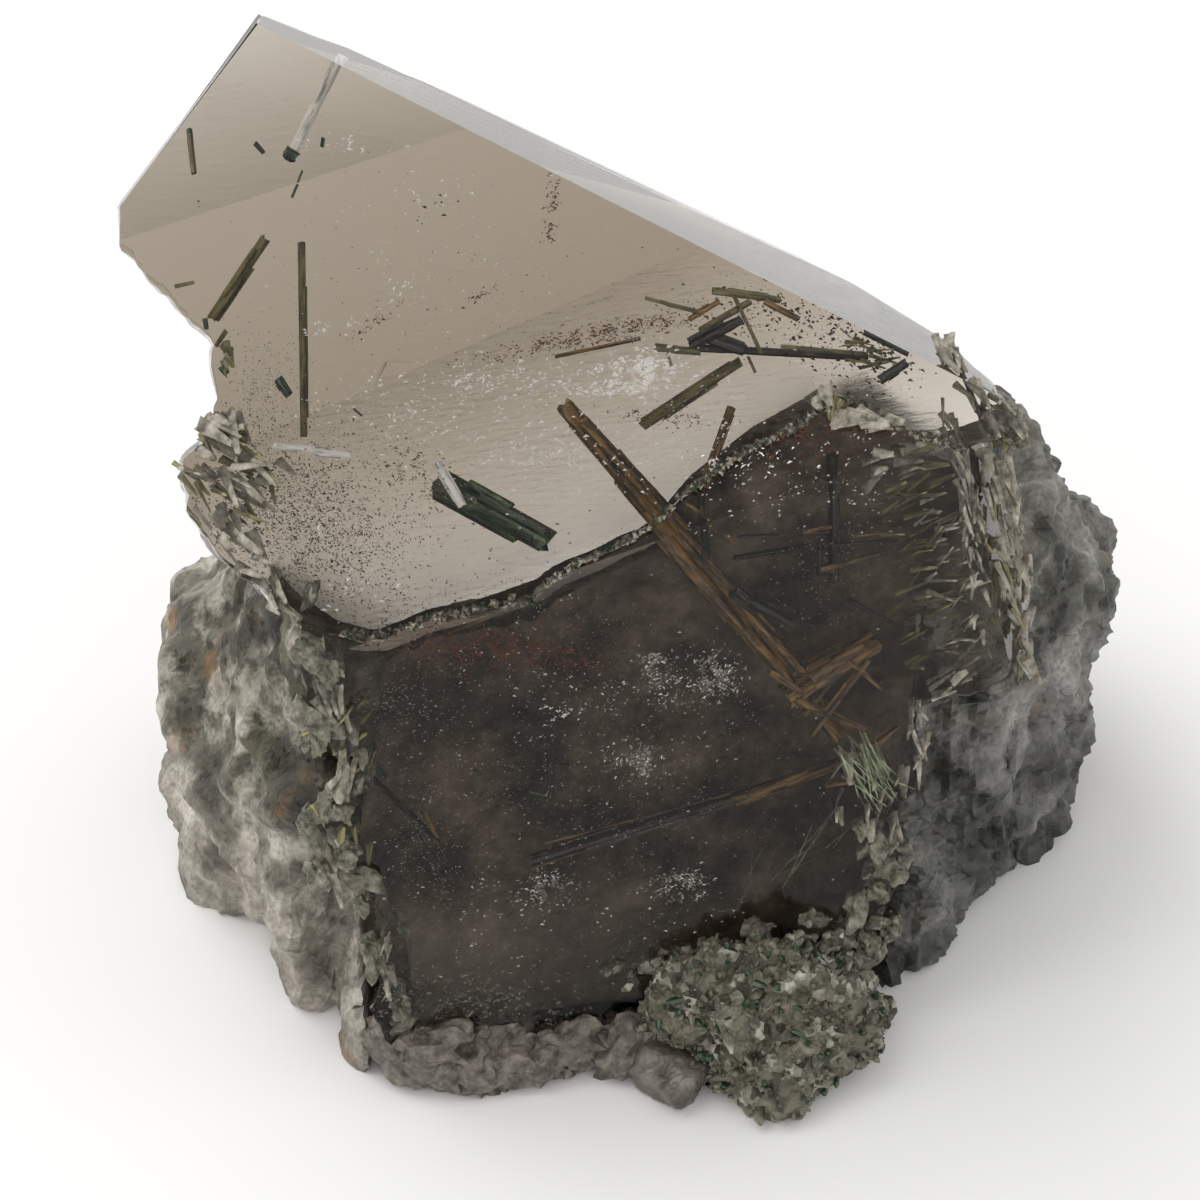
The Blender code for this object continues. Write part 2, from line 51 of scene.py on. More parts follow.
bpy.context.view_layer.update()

# %% [markdown]
# ## The face frame
# The photograph looks straight at the crystal's big face, which leans back by 45 degrees. So every place
# on the crystal is easiest to give in that face's own frame: right along the face, up along it, and out
# of it, in millimetres. Two functions turn such a place or direction into the world's.

# %% From the face frame to the world
FACE_LEAN = math.radians(45.0)
FACE_HEIGHT = 56.0        # how far the face frame's origin lies from the floor line, along the sight line
BASE_BACK = 13.0          # how far the base centre lies behind the face frame's origin
SIGHT_DISTANCE = 400.0    # the camera stands this far in front of the big face


def in_frame(place):
    """A place of the face frame, in millimetres, as a world point in metres."""
    right, up, out = place
    y = up * math.sin(FACE_LEAN) - out * math.cos(FACE_LEAN) - BASE_BACK
    z = (up + FACE_HEIGHT) * math.cos(FACE_LEAN) + out * math.sin(FACE_LEAN)
    return Vector((right, y, z)) * MM


def face_place(point):
    """The other way round: a world point in metres as a place of the face frame in millimetres."""
    right, y, z = point / MM
    back = (y + BASE_BACK) / math.cos(FACE_LEAN)
    rise = z / math.cos(FACE_LEAN) - FACE_HEIGHT
    return Vector((right, (rise + back) / 2, (rise - back) / 2))


def turned(direction):
    """A direction of the face frame as a world direction."""
    return (in_frame(direction) - in_frame((0.0, 0.0, 0.0))).normalized()


def lined_up(right, up, out):
    """The place at depth out that the camera sees at (right, up) of the big face."""
    nearness = (SIGHT_DISTANCE - out) / SIGHT_DISTANCE
    return Vector((right * nearness, up * nearness, out))


print("face frame origin, world mm:", [round(value / MM, 1) for value in in_frame((0, 0, 0))])

# %% [markdown]
# ## Camera
# A portrait of a mineral is taken from far away with a long lens, so that its edges stay parallel. The
# camera stands 400 mm in front of the big face and its frame is 80 mm wide there.

# %% Camera
FRAME_WIDTH = 80.04       # mm of the big face that the square picture takes in
SENSOR = 36.0

camera = bpy.data.objects.new("camera", bpy.data.cameras.new("camera"))
bpy.context.scene.collection.objects.link(camera)
camera.data.sensor_width = SENSOR
camera.data.lens = SENSOR * SIGHT_DISTANCE / FRAME_WIDTH
camera.data.clip_end = 10.0
eye = in_frame((0.0, 0.0, SIGHT_DISTANCE))
sight = (in_frame((0.0, 0.0, 0.0)) - eye).normalized()
camera.matrix_world = Matrix.Translation(eye) @ sight.to_track_quat("-Z", "Y").to_matrix().to_4x4()
bpy.context.scene.camera = camera
print("lens, mm:", round(camera.data.lens, 1))

# %% [markdown]
# ## Light
# The stone is lit from the upper left by one big soft panel, and a white room fills the shadows. Clear
# quartz shows what stands around it, so a plain white room is also what makes it look clean. The Standard
# view keeps the paper white.

# %% Soft panel and white room
PANEL_WATTS = 3.4
PANEL_SIZE = 0.9
PANEL_PLACE = Vector((-0.42, 0.26, 0.62))
ROOM_STRENGTH = 0.84

panel = bpy.data.objects.new("soft_panel", bpy.data.lights.new("soft_panel", "AREA"))
bpy.context.scene.collection.objects.link(panel)
panel.data.shape = "DISK"
panel.data.size = PANEL_SIZE
panel.data.energy = PANEL_WATTS
panel.matrix_world = (
    Matrix.Translation(PANEL_PLACE) @ (-PANEL_PLACE).to_track_quat("-Z", "Y").to_matrix().to_4x4()
)

room = bpy.data.worlds.new("white_room")
room.use_nodes = True
room.node_tree.nodes["Background"].inputs["Color"].default_value = (1.0, 1.0, 1.0, 1.0)
room.node_tree.nodes["Background"].inputs["Strength"].default_value = ROOM_STRENGTH
bpy.context.scene.world = room
bpy.context.scene.view_settings.view_transform = "Standard"
print("panel, watts:", PANEL_WATTS)

# %% [markdown]
# ## Colours and nodes
# Colours are written as the hex values that a colour picker shows, and the renderer works in linear
# light, so one function converts them. Another adds any node with its settings and links, and the rest
# are the few steps that every finish repeats, so that each finish below is short enough to read as a
# recipe.

# %% Helpers for finishes
def colour(code):
    """A hex colour, such as 8A7F6B, as linear red, green, blue and full alpha."""
    values = [int(code[i:i + 2], 16) / 255 for i in (0, 2, 4)]
    return tuple(v / 12.92 if v <= 0.04045 else ((v + 0.055) / 1.055) ** 2.4 for v in values) + (1.0,)


def put(tree, value, socket):
    """Links an output to a socket, or sets the socket to a constant."""
    if isinstance(value, bpy.types.NodeSocket):
        tree.links.new(value, socket)
    else:
        socket.default_value = value


def add(tree, kind, inputs=None, **settings):
    """Adds a node, sets its settings, and fills its inputs with values or with links from other outputs."""
    node = tree.nodes.new("ShaderNode" + kind)
    for name, value in settings.items():
        setattr(node, name, value)
    for socket, value in (inputs or {}).items():
        put(tree, value, node.inputs[socket])
    return node


def ramp(tree, value, stops):
    """A colour ramp over a value, with (place, hex colour) stops."""
    node = add(tree, "ValToRGB", {"Fac": value})
    while len(node.color_ramp.elements) < len(stops):
        node.color_ramp.elements.new(0.5)
    for element, (place, code) in zip(node.color_ramp.elements, stops):
        element.position = place
        element.color = colour(code)
    return node.outputs["Color"]


def blend(tree, share, one, other, way="MIX"):
    """Two colours mixed by a share."""
    node = add(tree, "Mix", {0: share, 6: one, 7: other}, data_type="RGBA", blend_type=way)
    return node.outputs[2]


def finish_named(name):
    """A new material with its node tree and its shader."""
    made = bpy.data.materials.new(name)
    made.use_nodes = True
    return made, made.node_tree, made.node_tree.nodes["Principled BSDF"]


def sized(millimetres):
    """The scale of a noise on Object coordinates, in metres, whose lumps are this many millimetres wide."""
    return 1.0 / (millimetres * MM)


def noise_of(tree, place, millimetres, detail, roughness=0.5):
    """The value of a noise whose lumps are this many millimetres wide."""
    inputs = {"Vector": place, "Scale": sized(millimetres), "Detail": detail, "Roughness": roughness}
    return add(tree, "TexNoise", inputs).outputs["Fac"]


def spread(tree, value, low=0.0, high=1.0, to_low=0.0, to_high=1.0):
    """A value carried over from one range to another and held there."""
    inputs = {"Value": value, "From Min": low, "From Max": high, "To Min": to_low, "To Max": to_high}
    return add(tree, "MapRange", inputs).outputs["Result"]


def reckoned(tree, operation, one, other):
    """One step of arithmetic."""
    return add(tree, "Math", {0: one, 1: other}, operation=operation).outputs[0]


def dressed(tree, shader, tone, roughness, height, strength, distance):
    """Gives a shader its colour, its roughness and a bump of some millimetres."""
    put(tree, tone, shader.inputs["Base Color"])
    put(tree, roughness, shader.inputs["Roughness"])
    bump = add(tree, "Bump", {"Height": height, "Strength": strength, "Distance": distance * MM})
    tree.links.new(bump.outputs["Normal"], shader.inputs["Normal"])


print("white paper, linear:", [round(value, 2) for value in colour("F4F3F1")[:3]])

# %% [markdown]
# ## Floor
# White seamless paper: matt, with a very faint tooth. It carries the soft shadow at the lower right of
# the stone.

# %% Paper floor
FLOOR_SIZE = 3.0

paper, tree, shader = finish_named("matt_white_paper")
tooth = noise_of(tree, add(tree, "TexCoord").outputs["Object"], 0.8, 2.0)
dressed(tree, shader, colour("F7F6F5"), 0.9, tooth, 0.03, 0.1)

bm = bmesh.new()
bmesh.ops.create_grid(bm, x_segments=1, y_segments=1, size=FLOOR_SIZE)
floor = bpy.data.objects.new("paper_floor", bpy.data.meshes.new("paper_floor"))
bm.to_mesh(floor.data)
bm.free()
floor.data.materials.append(paper)
bpy.context.scene.collection.objects.link(floor)
print("floor, m:", FLOOR_SIZE * 2)

# %% [markdown]
# ## Smoky rock crystal
# Quartz is colourless glass-clear stone with a refractive index of 1.544. Natural radiation has smoked
# this one, so it takes a little more blue than red out of the light on its way through: that is
# absorption in the volume, and a thick stretch looks browner than a thin one. The natural front faces are
# mirror smooth with fine growth lines, and what was broken or etched behind them is frosted, so the
# roughness grows with depth.

# %% Crystal faces
BIG_FACE = Vector((-0.010, 0.050, 0.9987)).normalized()
PRISM_FACE = Vector((0.186, -0.512, 0.839)).normalized()
SIDE_FACE = Vector((0.930, -0.015, 0.365)).normalized()
BEVEL_FACE = Vector((0.435, 0.874, 0.215)).normalized()
BACK_FACE = Vector((-0.05, 0.08, -0.995)).normalized()
UNDERSIDE = Vector((0.216, -0.527, -0.820)).normalized()

BIG_FACE_POINT = Vector((0.0, 8.0, 0.0))
PRISM_FACE_POINT = Vector((0.0, 3.5, -1.2))
SIDE_FACE_POINT = Vector((24.6, 3.0, -3.0))
BEVEL_FACE_POINT = Vector((-1.2, 27.6, -1.0))
BACK_FACE_POINT = Vector((0.0, 15.0, -20.5))
UNDERSIDE_POINT = Vector((0.0, 4.2, -6.25))
QUARTZ_IOR = 1.544
ROCK_DEPTH = 4.6          # mm of clear quartz in front of the rock at the ledge
ROCK_RECEDES = 0.09       # how much thicker that gets for each millimetre down the front prism face
BACK_DEPTH = 31.0         # mm from the front prism face to the back prism face

DOWN_PRISM_FACE = Vector((1.0, 0.0, 0.0)).cross(PRISM_FACE).normalized()
ROCK_FRONT = (PRISM_FACE + DOWN_PRISM_FACE * ROCK_RECEDES).normalized()
ROCK_FRONT_POINT = PRISM_FACE_POINT - PRISM_FACE * ROCK_DEPTH
print("ledge angle, degrees:", round(math.degrees(BIG_FACE.angle(PRISM_FACE)), 1))

# %% [markdown]
# ## The broken ledge
# The big face ends below in a broken edge, and the darker prism face starts under it. Everything that has
# to end at this ledge asks one function for its height.

# %% Broken ledge between the big face and the prism face
LEDGE = [
    (-17.3, -2.3), (-14.3, -2.5), (-11.3, -1.3), (-4.7, 0.0), (-2.7, 1.7), (3.3, 4.7), (6.0, 7.3),
    (10.0, 10.0), (13.3, 11.7), (16.7, 13.3), (20.3, 11.3), (24.4, 10.0),
]
HEAD_LOW_LEFT = [(-28.1, 9.0), (-25.7, 3.3), (-22.7, 0.7), (-20.0, -1.3)]


def ledge_height(right):
    """How high the ledge, or the head's lower edge at the left of it, runs at a place along it."""
    return float(numpy.interp(right, *zip(*HEAD_LOW_LEFT + LEDGE)))


print("ledge at the middle, mm up:", round(ledge_height(0.0), 1))

# %% [markdown]
# ## Finish of the crystal
# The depth of a shaded point below the three polished faces gives its roughness: polished in front,
# frosted behind. The photo shows almost no mirror glare, as through a polarising filter, so most of it is
# taken away.

# %% Finish of the crystal
SMOKE_DENSITY = 150.0     # absorption per metre
GLARE_LEFT = 0.36         # share of the mirror glare that a polarising filter lets through
SMOOTH_DEPTH = 1.5 * MM   # front faces stay polished to this depth
FROSTED_DEPTH = 7.0 * MM
FROST = 0.30              # roughness of what was broken or etched
WIPED = 0.05              # how much the roughness of the polished faces varies
GROWTH_LINES = 0.35       # mm between the growth lines


def depth_behind(tree, place, face, point):
    """How far a shaded point lies behind a crystal face, in metres."""
    normal = turned(face)
    along = add(tree, "VectorMath", {0: place, 1: normal}, operation="DOT_PRODUCT")
    return reckoned(tree, "SUBTRACT", normal.dot(in_frame(point)), along.outputs["Value"])


def smoky_quartz():
    """Smoky rock crystal: clear and polished in front, frosted behind, browner where it is thick."""
    made, tree, shader = finish_named("smoky_rock_crystal")
    place = add(tree, "TexCoord").outputs["Object"]
    nearest = depth_behind(tree, place, BIG_FACE, BIG_FACE_POINT)
    for face, point in [(PRISM_FACE, PRISM_FACE_POINT), (BEVEL_FACE, BEVEL_FACE_POINT)]:
        nearest = reckoned(tree, "MINIMUM", nearest, depth_behind(tree, place, face, point))
    frost = spread(tree, nearest, SMOOTH_DEPTH, FROSTED_DEPTH, 0.0, FROST)
    wiped = spread(tree, noise_of(tree, place, 3.0, 4.0), 0.4, 1.0, 0.0, WIPED)
    lines = add(tree, "Mapping", {"Vector": place, "Rotation": (0.0, 0.25, 0.0), "Scale": (0.06, 1.0, 1.0)})
    growth = noise_of(tree, lines.outputs["Vector"], GROWTH_LINES, 3.0)
    relief = spread(tree, nearest, SMOOTH_DEPTH, FROSTED_DEPTH, 0.04, 0.35)
    dressed(tree, shader, (1.0, 1.0, 1.0, 1.0), reckoned(tree, "ADD", frost, wiped), growth, relief, 0.08)
    shader.inputs["IOR"].default_value = QUARTZ_IOR
    shader.inputs["Transmission Weight"].default_value = 1.0
    shader.inputs["Specular Tint"].default_value = (GLARE_LEFT, GLARE_LEFT, GLARE_LEFT, 1.0)
    smoke = add(tree, "VolumeAbsorption", {"Color": colour("CBC2B3"), "Density": SMOKE_DENSITY})
    tree.links.new(smoke.outputs["Volume"], tree.nodes["Material Output"].inputs["Volume"])
    return made


quartz = smoky_quartz()
print("quartz IOR:", QUARTZ_IOR)

# %% [markdown]
# ## Pieces from a bmesh
# Every piece below ends in the same way: its mesh becomes an object at the origin with its finish on it,
# rides on the stone and is counted. Cutting a crystal face is one bisect with the hole filled. A rock is
# divided into even cells, and its corners are pushed out by a relief.

# %% Finishing a piece, cutting a face and working a rock
def closed_mesh(bm, name):
    """The mesh of a bmesh whose faces point outwards."""
    bmesh.ops.remove_doubles(bm, verts=bm.verts, dist=0.002 * MM)
    bmesh.ops.recalc_face_normals(bm, faces=bm.faces)
    mesh = bpy.data.meshes.new(name)
    bm.to_mesh(mesh)
    bm.free()
    return mesh


def made_object(mesh, name, finish):
    """Makes a mesh a piece of the stone, with its finish."""
    made = bpy.data.objects.new(name, mesh)
    bpy.context.scene.collection.objects.link(made)
    mesh.materials.clear()
    mesh.materials.append(finish)
    mesh.polygons.foreach_set("use_smooth", [False] * len(mesh.polygons))
    for vert in mesh.vertices:
        vert.co.z = max(vert.co.z, 0.0)
    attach(made, "root")
    print(name, "has", sum(len(face.vertices) - 2 for face in mesh.polygons), "triangles")
    return made


def made_piece(bm, name, finish):
    """Makes a bmesh a piece of the stone."""
    return made_object(closed_mesh(bm, name), name, finish)


def cut(bm, point, normal):
    """Cuts away what lies beyond a world plane and closes the cut."""
    done = bmesh.ops.bisect_plane(
        bm, geom=bm.verts[:] + bm.edges[:] + bm.faces[:], dist=1e-7,
        plane_co=point, plane_no=normal, clear_outer=True,
    )
    rim = [item for item in done["geom_cut"] if isinstance(item, bmesh.types.BMEdge)]
    if rim:
        bmesh.ops.holes_fill(bm, edges=rim, sides=0)


def cut_face(bm, point, normal, grow=0.0):
    """The same for a plane of the face frame, moved outwards by grow."""
    cut(bm, in_frame(Vector(point) + Vector(normal) * grow), turned(normal))


def as_new_mesh(obj, name):
    """The mesh of an object with its modifiers applied. The object itself is removed."""
    bpy.context.view_layer.update()
    graph = bpy.context.evaluated_depsgraph_get()
    mesh = bpy.data.meshes.new_from_object(obj.evaluated_get(graph))
    mesh.name = name
    bpy.data.objects.remove(obj)
    return mesh


def loose_object(mesh, name):
    """A mesh as a scratch object, which is no piece."""
    made = bpy.data.objects.new(name, mesh)
    bpy.context.scene.collection.objects.link(made)
    return made


def boolean(obj, other, operation):
    """An exact Boolean that is applied at once."""
    modifier = obj.modifiers.new("cut", "BOOLEAN")
    modifier.operation = operation
    modifier.solver = "EXACT"
    modifier.object = other
    name = obj.name
    mesh = as_new_mesh(obj, name)
    bpy.data.objects.remove(other)
    return loose_object(mesh, name)


def even_cells(bm, name, voxel):
    """The same solid in even cells of some millimetres, ready to be worked."""
    rough = loose_object(closed_mesh(bm, name), name)
    remesh = rough.modifiers.new("even_cells", "REMESH")
    remesh.mode = "VOXEL"
    remesh.voxel_size = voxel * MM
    bm = bmesh.new()
    bm.from_mesh(as_new_mesh(rough, name))
    return bm


def pushed_out(bm, relief):
    """Moves each corner outwards by a relief of its place, both in millimetres."""
    bm.normal_update()
    for vert, normal, place in [(vert, vert.normal.copy(), vert.co / MM) for vert in bm.verts]:
        vert.co += normal * relief(place) * MM
        vert.co.z = max(vert.co.z, 0.0)
    return bm


print("nodes in the frame:", len(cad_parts))

# %% [markdown]
# ## The clear crystal
# The crystal is two blocks grown as one: a head, whose lower edge is a broken ledge, and a stem below it.
# A jeweller would read each as an outline, so each block starts as its outline on the big face, is torn a
# little along its broken edges, and is extruded straight back along the sight lines in thin layers whose
# rims wander, which gives conchoidal broken walls. The natural faces are then cut as true planes. One
# clear piece replaces the two CAD halves, which are parted only so that the sealed prisms have room.

# %% Blocks with torn walls
HEAD_OUTLINE = [
    (-22.5, 39.0), (-31.9, 26.3), (-32.0, 23.7), (-29.0, 20.3), (-25.7, 17.0), (-25.6, 13.3),
    (-25.9, 11.5), (-28.0, 9.2), (-27.3, 6.0), (-25.8, 3.3), (-22.8, 0.7), (-20.0, -1.2),
    (-18.0, -2.3), (-14.3, -2.5), (-11.3, -1.3), (-8.7, -1.1), (-4.7, 0.0), (-2.3, 2.0),
    (3.3, 4.7), (6.0, 7.3), (10.0, 10.0), (13.7, 11.7), (14.7, 13.9), (16.7, 13.3),
    (20.3, 11.3), (23.7, 10.1), (27.3, 10.7), (28.1, 11.9), (25.7, 14.8), (23.0, 17.7),
    (21.7, 18.8), (-17.0, 37.0),
]
HEAD_STRAIGHT = (0, 1, 30, 31)    # outline edges that are natural faces and stay straight
STEM_OUTLINE = [
    (-19.6, 6.0), (-20.0, -2.7), (-19.6, -6.7), (-17.3, -11.0), (-18.3, -15.3), (-15.0, -19.3),
    (-14.1, -24.0), (-15.3, -27.3), (-13.3, -31.5), (-8.0, -34.0), (-0.7, -34.0), (7.0, -36.0),
    (12.5, -31.0), (16.4, -24.6), (20.2, -18.7), (19.5, -15.3), (21.0, -12.0), (21.1, -7.0),
    (25.7, -6.0), (28.6, -3.2), (28.4, 4.0), (26.4, 9.5), (19.5, 15.0), (-14.0, 15.0),
]
STEM_STRAIGHT = (22, 23)
TORN_STEP = 0.5           # mm between corners of a torn edge
TORN_SIZE = 1.3           # mm, width of its scallops
TORN_REACH = 0.32         # mm that they wander
LAYER = 1.3               # mm between the layers of a wall


def torn_block(outline, straight, front, back, seed):
    """An outline torn along its broken edges and drawn straight back along the sight lines."""
    bm = bmesh.new()
    rim = [bm.verts.new((right, up, front)) for right, up in outline]
    face = bm.faces.new(rim)
    count = len(outline)
    kept = {rim[i] for i in straight if (i - 1) % count in straight}
    edges = [bm.edges.get((rim[i], rim[(i + 1) % count])) for i in range(count)]
    for number, edge in enumerate(edges):
        if number not in straight:
            cuts = int(edge.calc_length() / TORN_STEP)
            bmesh.ops.subdivide_edges(bm, edges=[edge], cuts=cuts)
    for vert in bm.verts:
        if vert not in kept:
            spot = vert.co / TORN_SIZE + Vector((seed, 0.0, 0.0))
            wander = noise.noise_vector(spot) + noise.noise_vector(spot * 2.7) * 0.4
            vert.co.xy += wander.xy * TORN_REACH
    layers = int((front - back) / LAYER)
    face = bm.faces[:][0]
    for layer in range(layers):
        grown = bmesh.ops.extrude_face_region(bm, geom=[face])["geom"]
        if layer > 0:
            bmesh.ops.delete(bm, geom=[face], context="FACES_ONLY")
        face = next(item for item in grown if isinstance(item, bmesh.types.BMFace))
        bmesh.ops.translate(bm, vec=(0.0, 0.0, (back - front) / layers), verts=face.verts)
    for vert in bm.verts:
        if vert.co.z < front - 0.1:
            spot = vert.co / (TORN_SIZE * 2.2) + Vector((seed, 5.0, 0.0))
            vert.co.xy += noise.noise_vector(spot).xy * TORN_REACH * 1.2
        vert.co = in_frame(lined_up(*vert.co))
    bmesh.ops.recalc_face_normals(bm, faces=bm.faces)
    return bm


# %% [markdown]
# ## Joining the blocks
# The natural faces are cut into each block before the two are joined, and the room for the rock is taken
# away last.

# %% Head, stem and rock bed
HEAD_FRONT = 4.0
HEAD_BACK = -30.0
STEM_FRONT = 3.0
STEM_BACK = -44.0
STEM_TOP_DEPTH = 2.0
ROCK_BITES = 0.6          # mm that the rock reaches into the quartz, so that no air is left between them
UNDERSIDE_BITES = 2.4     # the same under the head, so that its rim lies hidden below the ledge
BIG_CUTTER = 0.3


def head():
    """The upper block, cut by the big face, the bevel and the back face."""
    bm = torn_block(HEAD_OUTLINE, HEAD_STRAIGHT, HEAD_FRONT, HEAD_BACK, 1.7)
    cut_face(bm, BIG_FACE_POINT, BIG_FACE)
    cut_face(bm, BEVEL_FACE_POINT, BEVEL_FACE)
    cut_face(bm, BACK_FACE_POINT, BACK_FACE)
    return loose_object(closed_mesh(bm, "crystal_head"), "crystal_head")


def stem():
    """The lower block, cut by the prism face and the etched side face."""
    bm = torn_block(STEM_OUTLINE, STEM_STRAIGHT, STEM_FRONT, STEM_BACK, 8.2)
    cut_face(bm, PRISM_FACE_POINT, PRISM_FACE)
    cut_face(bm, SIDE_FACE_POINT, SIDE_FACE)
    cut_face(bm, BIG_FACE_POINT - BIG_FACE * STEM_TOP_DEPTH, BIG_FACE)
    return loose_object(closed_mesh(bm, "crystal_stem"), "crystal_stem")


def rock_bed():
    """The space behind the front plate and below the head, where the quartz leaves room to the rock."""
    bm = bmesh.new()
    bmesh.ops.create_cube(bm, size=BIG_CUTTER)
    cut_face(bm, ROCK_FRONT_POINT, ROCK_FRONT, -ROCK_BITES)
    cut_face(bm, UNDERSIDE_POINT, -UNDERSIDE, -UNDERSIDE_BITES)
    return loose_object(closed_mesh(bm, "rock_bed"), "rock_bed")


whole = boolean(head(), stem(), "UNION")
whole = boolean(whole, rock_bed(), "DIFFERENCE")
bm = bmesh.new()
bm.from_mesh(whole.data)
bpy.data.objects.remove(whole)
cut_face(bm, PRISM_FACE_POINT - PRISM_FACE * BACK_DEPTH, -PRISM_FACE)
cut(bm, (0.0, 0.0, 0.0), (0.0, 0.0, -1.0))
crystal = made_piece(bm, "clear_crystal", quartz)
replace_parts(crystal, "quartz_crystal_front", "quartz_crystal_back")

# %% [markdown]
# ## Rock that the crystal grew on
# Around the crystal stands its matrix: milky, knobbly quartz stained green at the left, grey etched
# quartz at the right. A sculptor would start from the rough block and work the surface in ever finer
# steps, and so does this cell: the CAD solid is copied, remeshed into even cells, swelled until it bites
# into the clear quartz, and then lumps, ledges and grains are added by noise, from the largest to the
# smallest.

# %% Worked rock
def rock_height(place, coarse, ledge, seed):
    """Relief of a broken rock, from about -1 to 1: lumps, with some flat ledges and pits."""
    spot = place / coarse + Vector((seed, -seed, seed * 0.5))
    lumps = noise.fractal(spot, 0.9, 2.1, 5, noise_basis="PERLIN_ORIGINAL")
    steps = round(lumps * 5.0) / 5.0
    cracks = noise.voronoi(spot * 2.3)[0]
    return lumps * (1.0 - ledge) + steps * ledge - 0.5 * max(0.0, 0.16 - (cracks[1] - cracks[0]))


def worked_copy(node, voxel, swell, relief):
    """A copy of a CAD node in even cells, swelled by some millimetres and worked by a relief."""
    bm = bmesh.new()
    bm.from_mesh(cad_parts[node].data)
    bm = even_cells(bm, node + "_copy", voxel)
    bmesh.ops.smooth_vert(bm, verts=bm.verts, factor=0.5, use_axis_x=True, use_axis_y=True, use_axis_z=True)
    return pushed_out(bm, lambda place: swell + relief(place))


def matrix_relief(place):
    """Rounder and knobblier at the left, ledged and etched at the right, and pitted everywhere."""
    right = min(1.0, max(0.0, (place.x + 4.0) / 10.0))
    lumps = rock_height(place, 4.2, 0.15 + 0.45 * right, 3.0) * 1.1
    steep = Vector((place.x, place.y, place.z * 0.35))
    etched = noise.fractal(steep / 1.1, 0.8, 2.2, 3, noise_basis="PERLIN_ORIGINAL") * 0.5 * right
    ribs = 0.45 - abs(noise.noise(Vector((place.x, place.y, place.z * 0.25)) / 1.6))
    knobs = noise.voronoi(place / 2.6)[0][0]
    knobbly = (0.42 - knobs) * 0.55 * (1.0 - right)
    grains = noise.noise(place / 0.45) * (0.06 + 0.12 * right)
    return lumps + etched + ribs * 0.8 * right + knobbly + grains


print("relief at the origin, mm:", round(matrix_relief(Vector((0.0, 0.0, 0.0))), 2))

# %% [markdown]
# ## Room behind the clear faces
# Seen through the big face the crystal is bright, so no rock may rise there: it stays below the ledge and
# behind the dark slab in the stem.

# %% Tucking the rock in
BED_SLOPE = 0.42          # how fast the rock rises behind the ledge
BED_START = 5.0           # mm behind the picture plane
UNDER_LEDGE = 1.4         # mm that the rock stays below the ledge
HEAD_LEFT = -27.0         # where the head and the stem begin and end, in mm to the right
STEM_LEFT = -16.0
STEM_RIGHT = 19.0
STEM_SOFT = 2.0           # mm over which the rock eases back to its own shape
TAPER_BELOW = -10.0       # mm up, where the stem begins to narrow
STEM_TAPER = 0.12         # the stem narrows by this much for each millimetre below the ledge
BEHIND_SLAB = 1.3         # mm that the rock stays behind the dark slab
DARK_ROCK_DEPTH = 4.2     # mm from the lower face to the dark slab behind it
SLAB_RECEDES = 0.08       # how much deeper the slab lies for each millimetre down the face


def ease(low, high, value):
    """A soft step from 0 to 1."""
    share = min(1.0, max(0.0, (value - low) / (high - low)))
    return share * share * (3.0 - 2.0 * share)


def tucked_in(point):
    """Keeps the rock under the ledge where the big face looks past it, and behind the slab in the stem."""
    spot = face_place(point)
    nearness = (SIGHT_DISTANCE - spot.z) / SIGHT_DISTANCE
    right, up = spot.x / nearness, spot.y / nearness
    narrow = STEM_TAPER * max(0.0, TAPER_BELOW - up)
    left_of_right_edge = 1.0 - ease(STEM_RIGHT, STEM_RIGHT + STEM_SOFT, right + narrow)
    within = ease(STEM_LEFT - STEM_SOFT, STEM_LEFT, right - narrow) * left_of_right_edge
    limit = ledge_height(right) - UNDER_LEDGE + BED_SLOPE * max(0.0, -spot.z - BED_START)
    if up > limit:
        under_head = ease(HEAD_LEFT - STEM_SOFT, HEAD_LEFT, right) * left_of_right_edge
        spot.y -= (up - limit) * under_head * nearness
    behind = (PRISM_FACE_POINT - spot).dot(PRISM_FACE)
    needed = DARK_ROCK_DEPTH + BEHIND_SLAB + SLAB_RECEDES * (spot - PRISM_FACE_POINT).dot(DOWN_PRISM_FACE)
    if behind < needed:
        spot -= PRISM_FACE * (needed - behind) * within
    point = in_frame(spot)
    point.z = max(point.z, 0.0)
    return point


print("rock under the ledge rises by", BED_SLOPE, "a millimetre")

# %% [markdown]
# ## Finish and piece of the rock
# Milky quartz at the left turns to grey quartz at the right. Olive dust lies in patches on the milky
# side, the low part is cleaner and pinkish, and a few spots are rusty. The grey side is painted darker
# towards the floor: painted shade of its lower part.

# %% Rock
MATRIX_VOXEL = 0.42
MATRIX_SWELL = 0.55


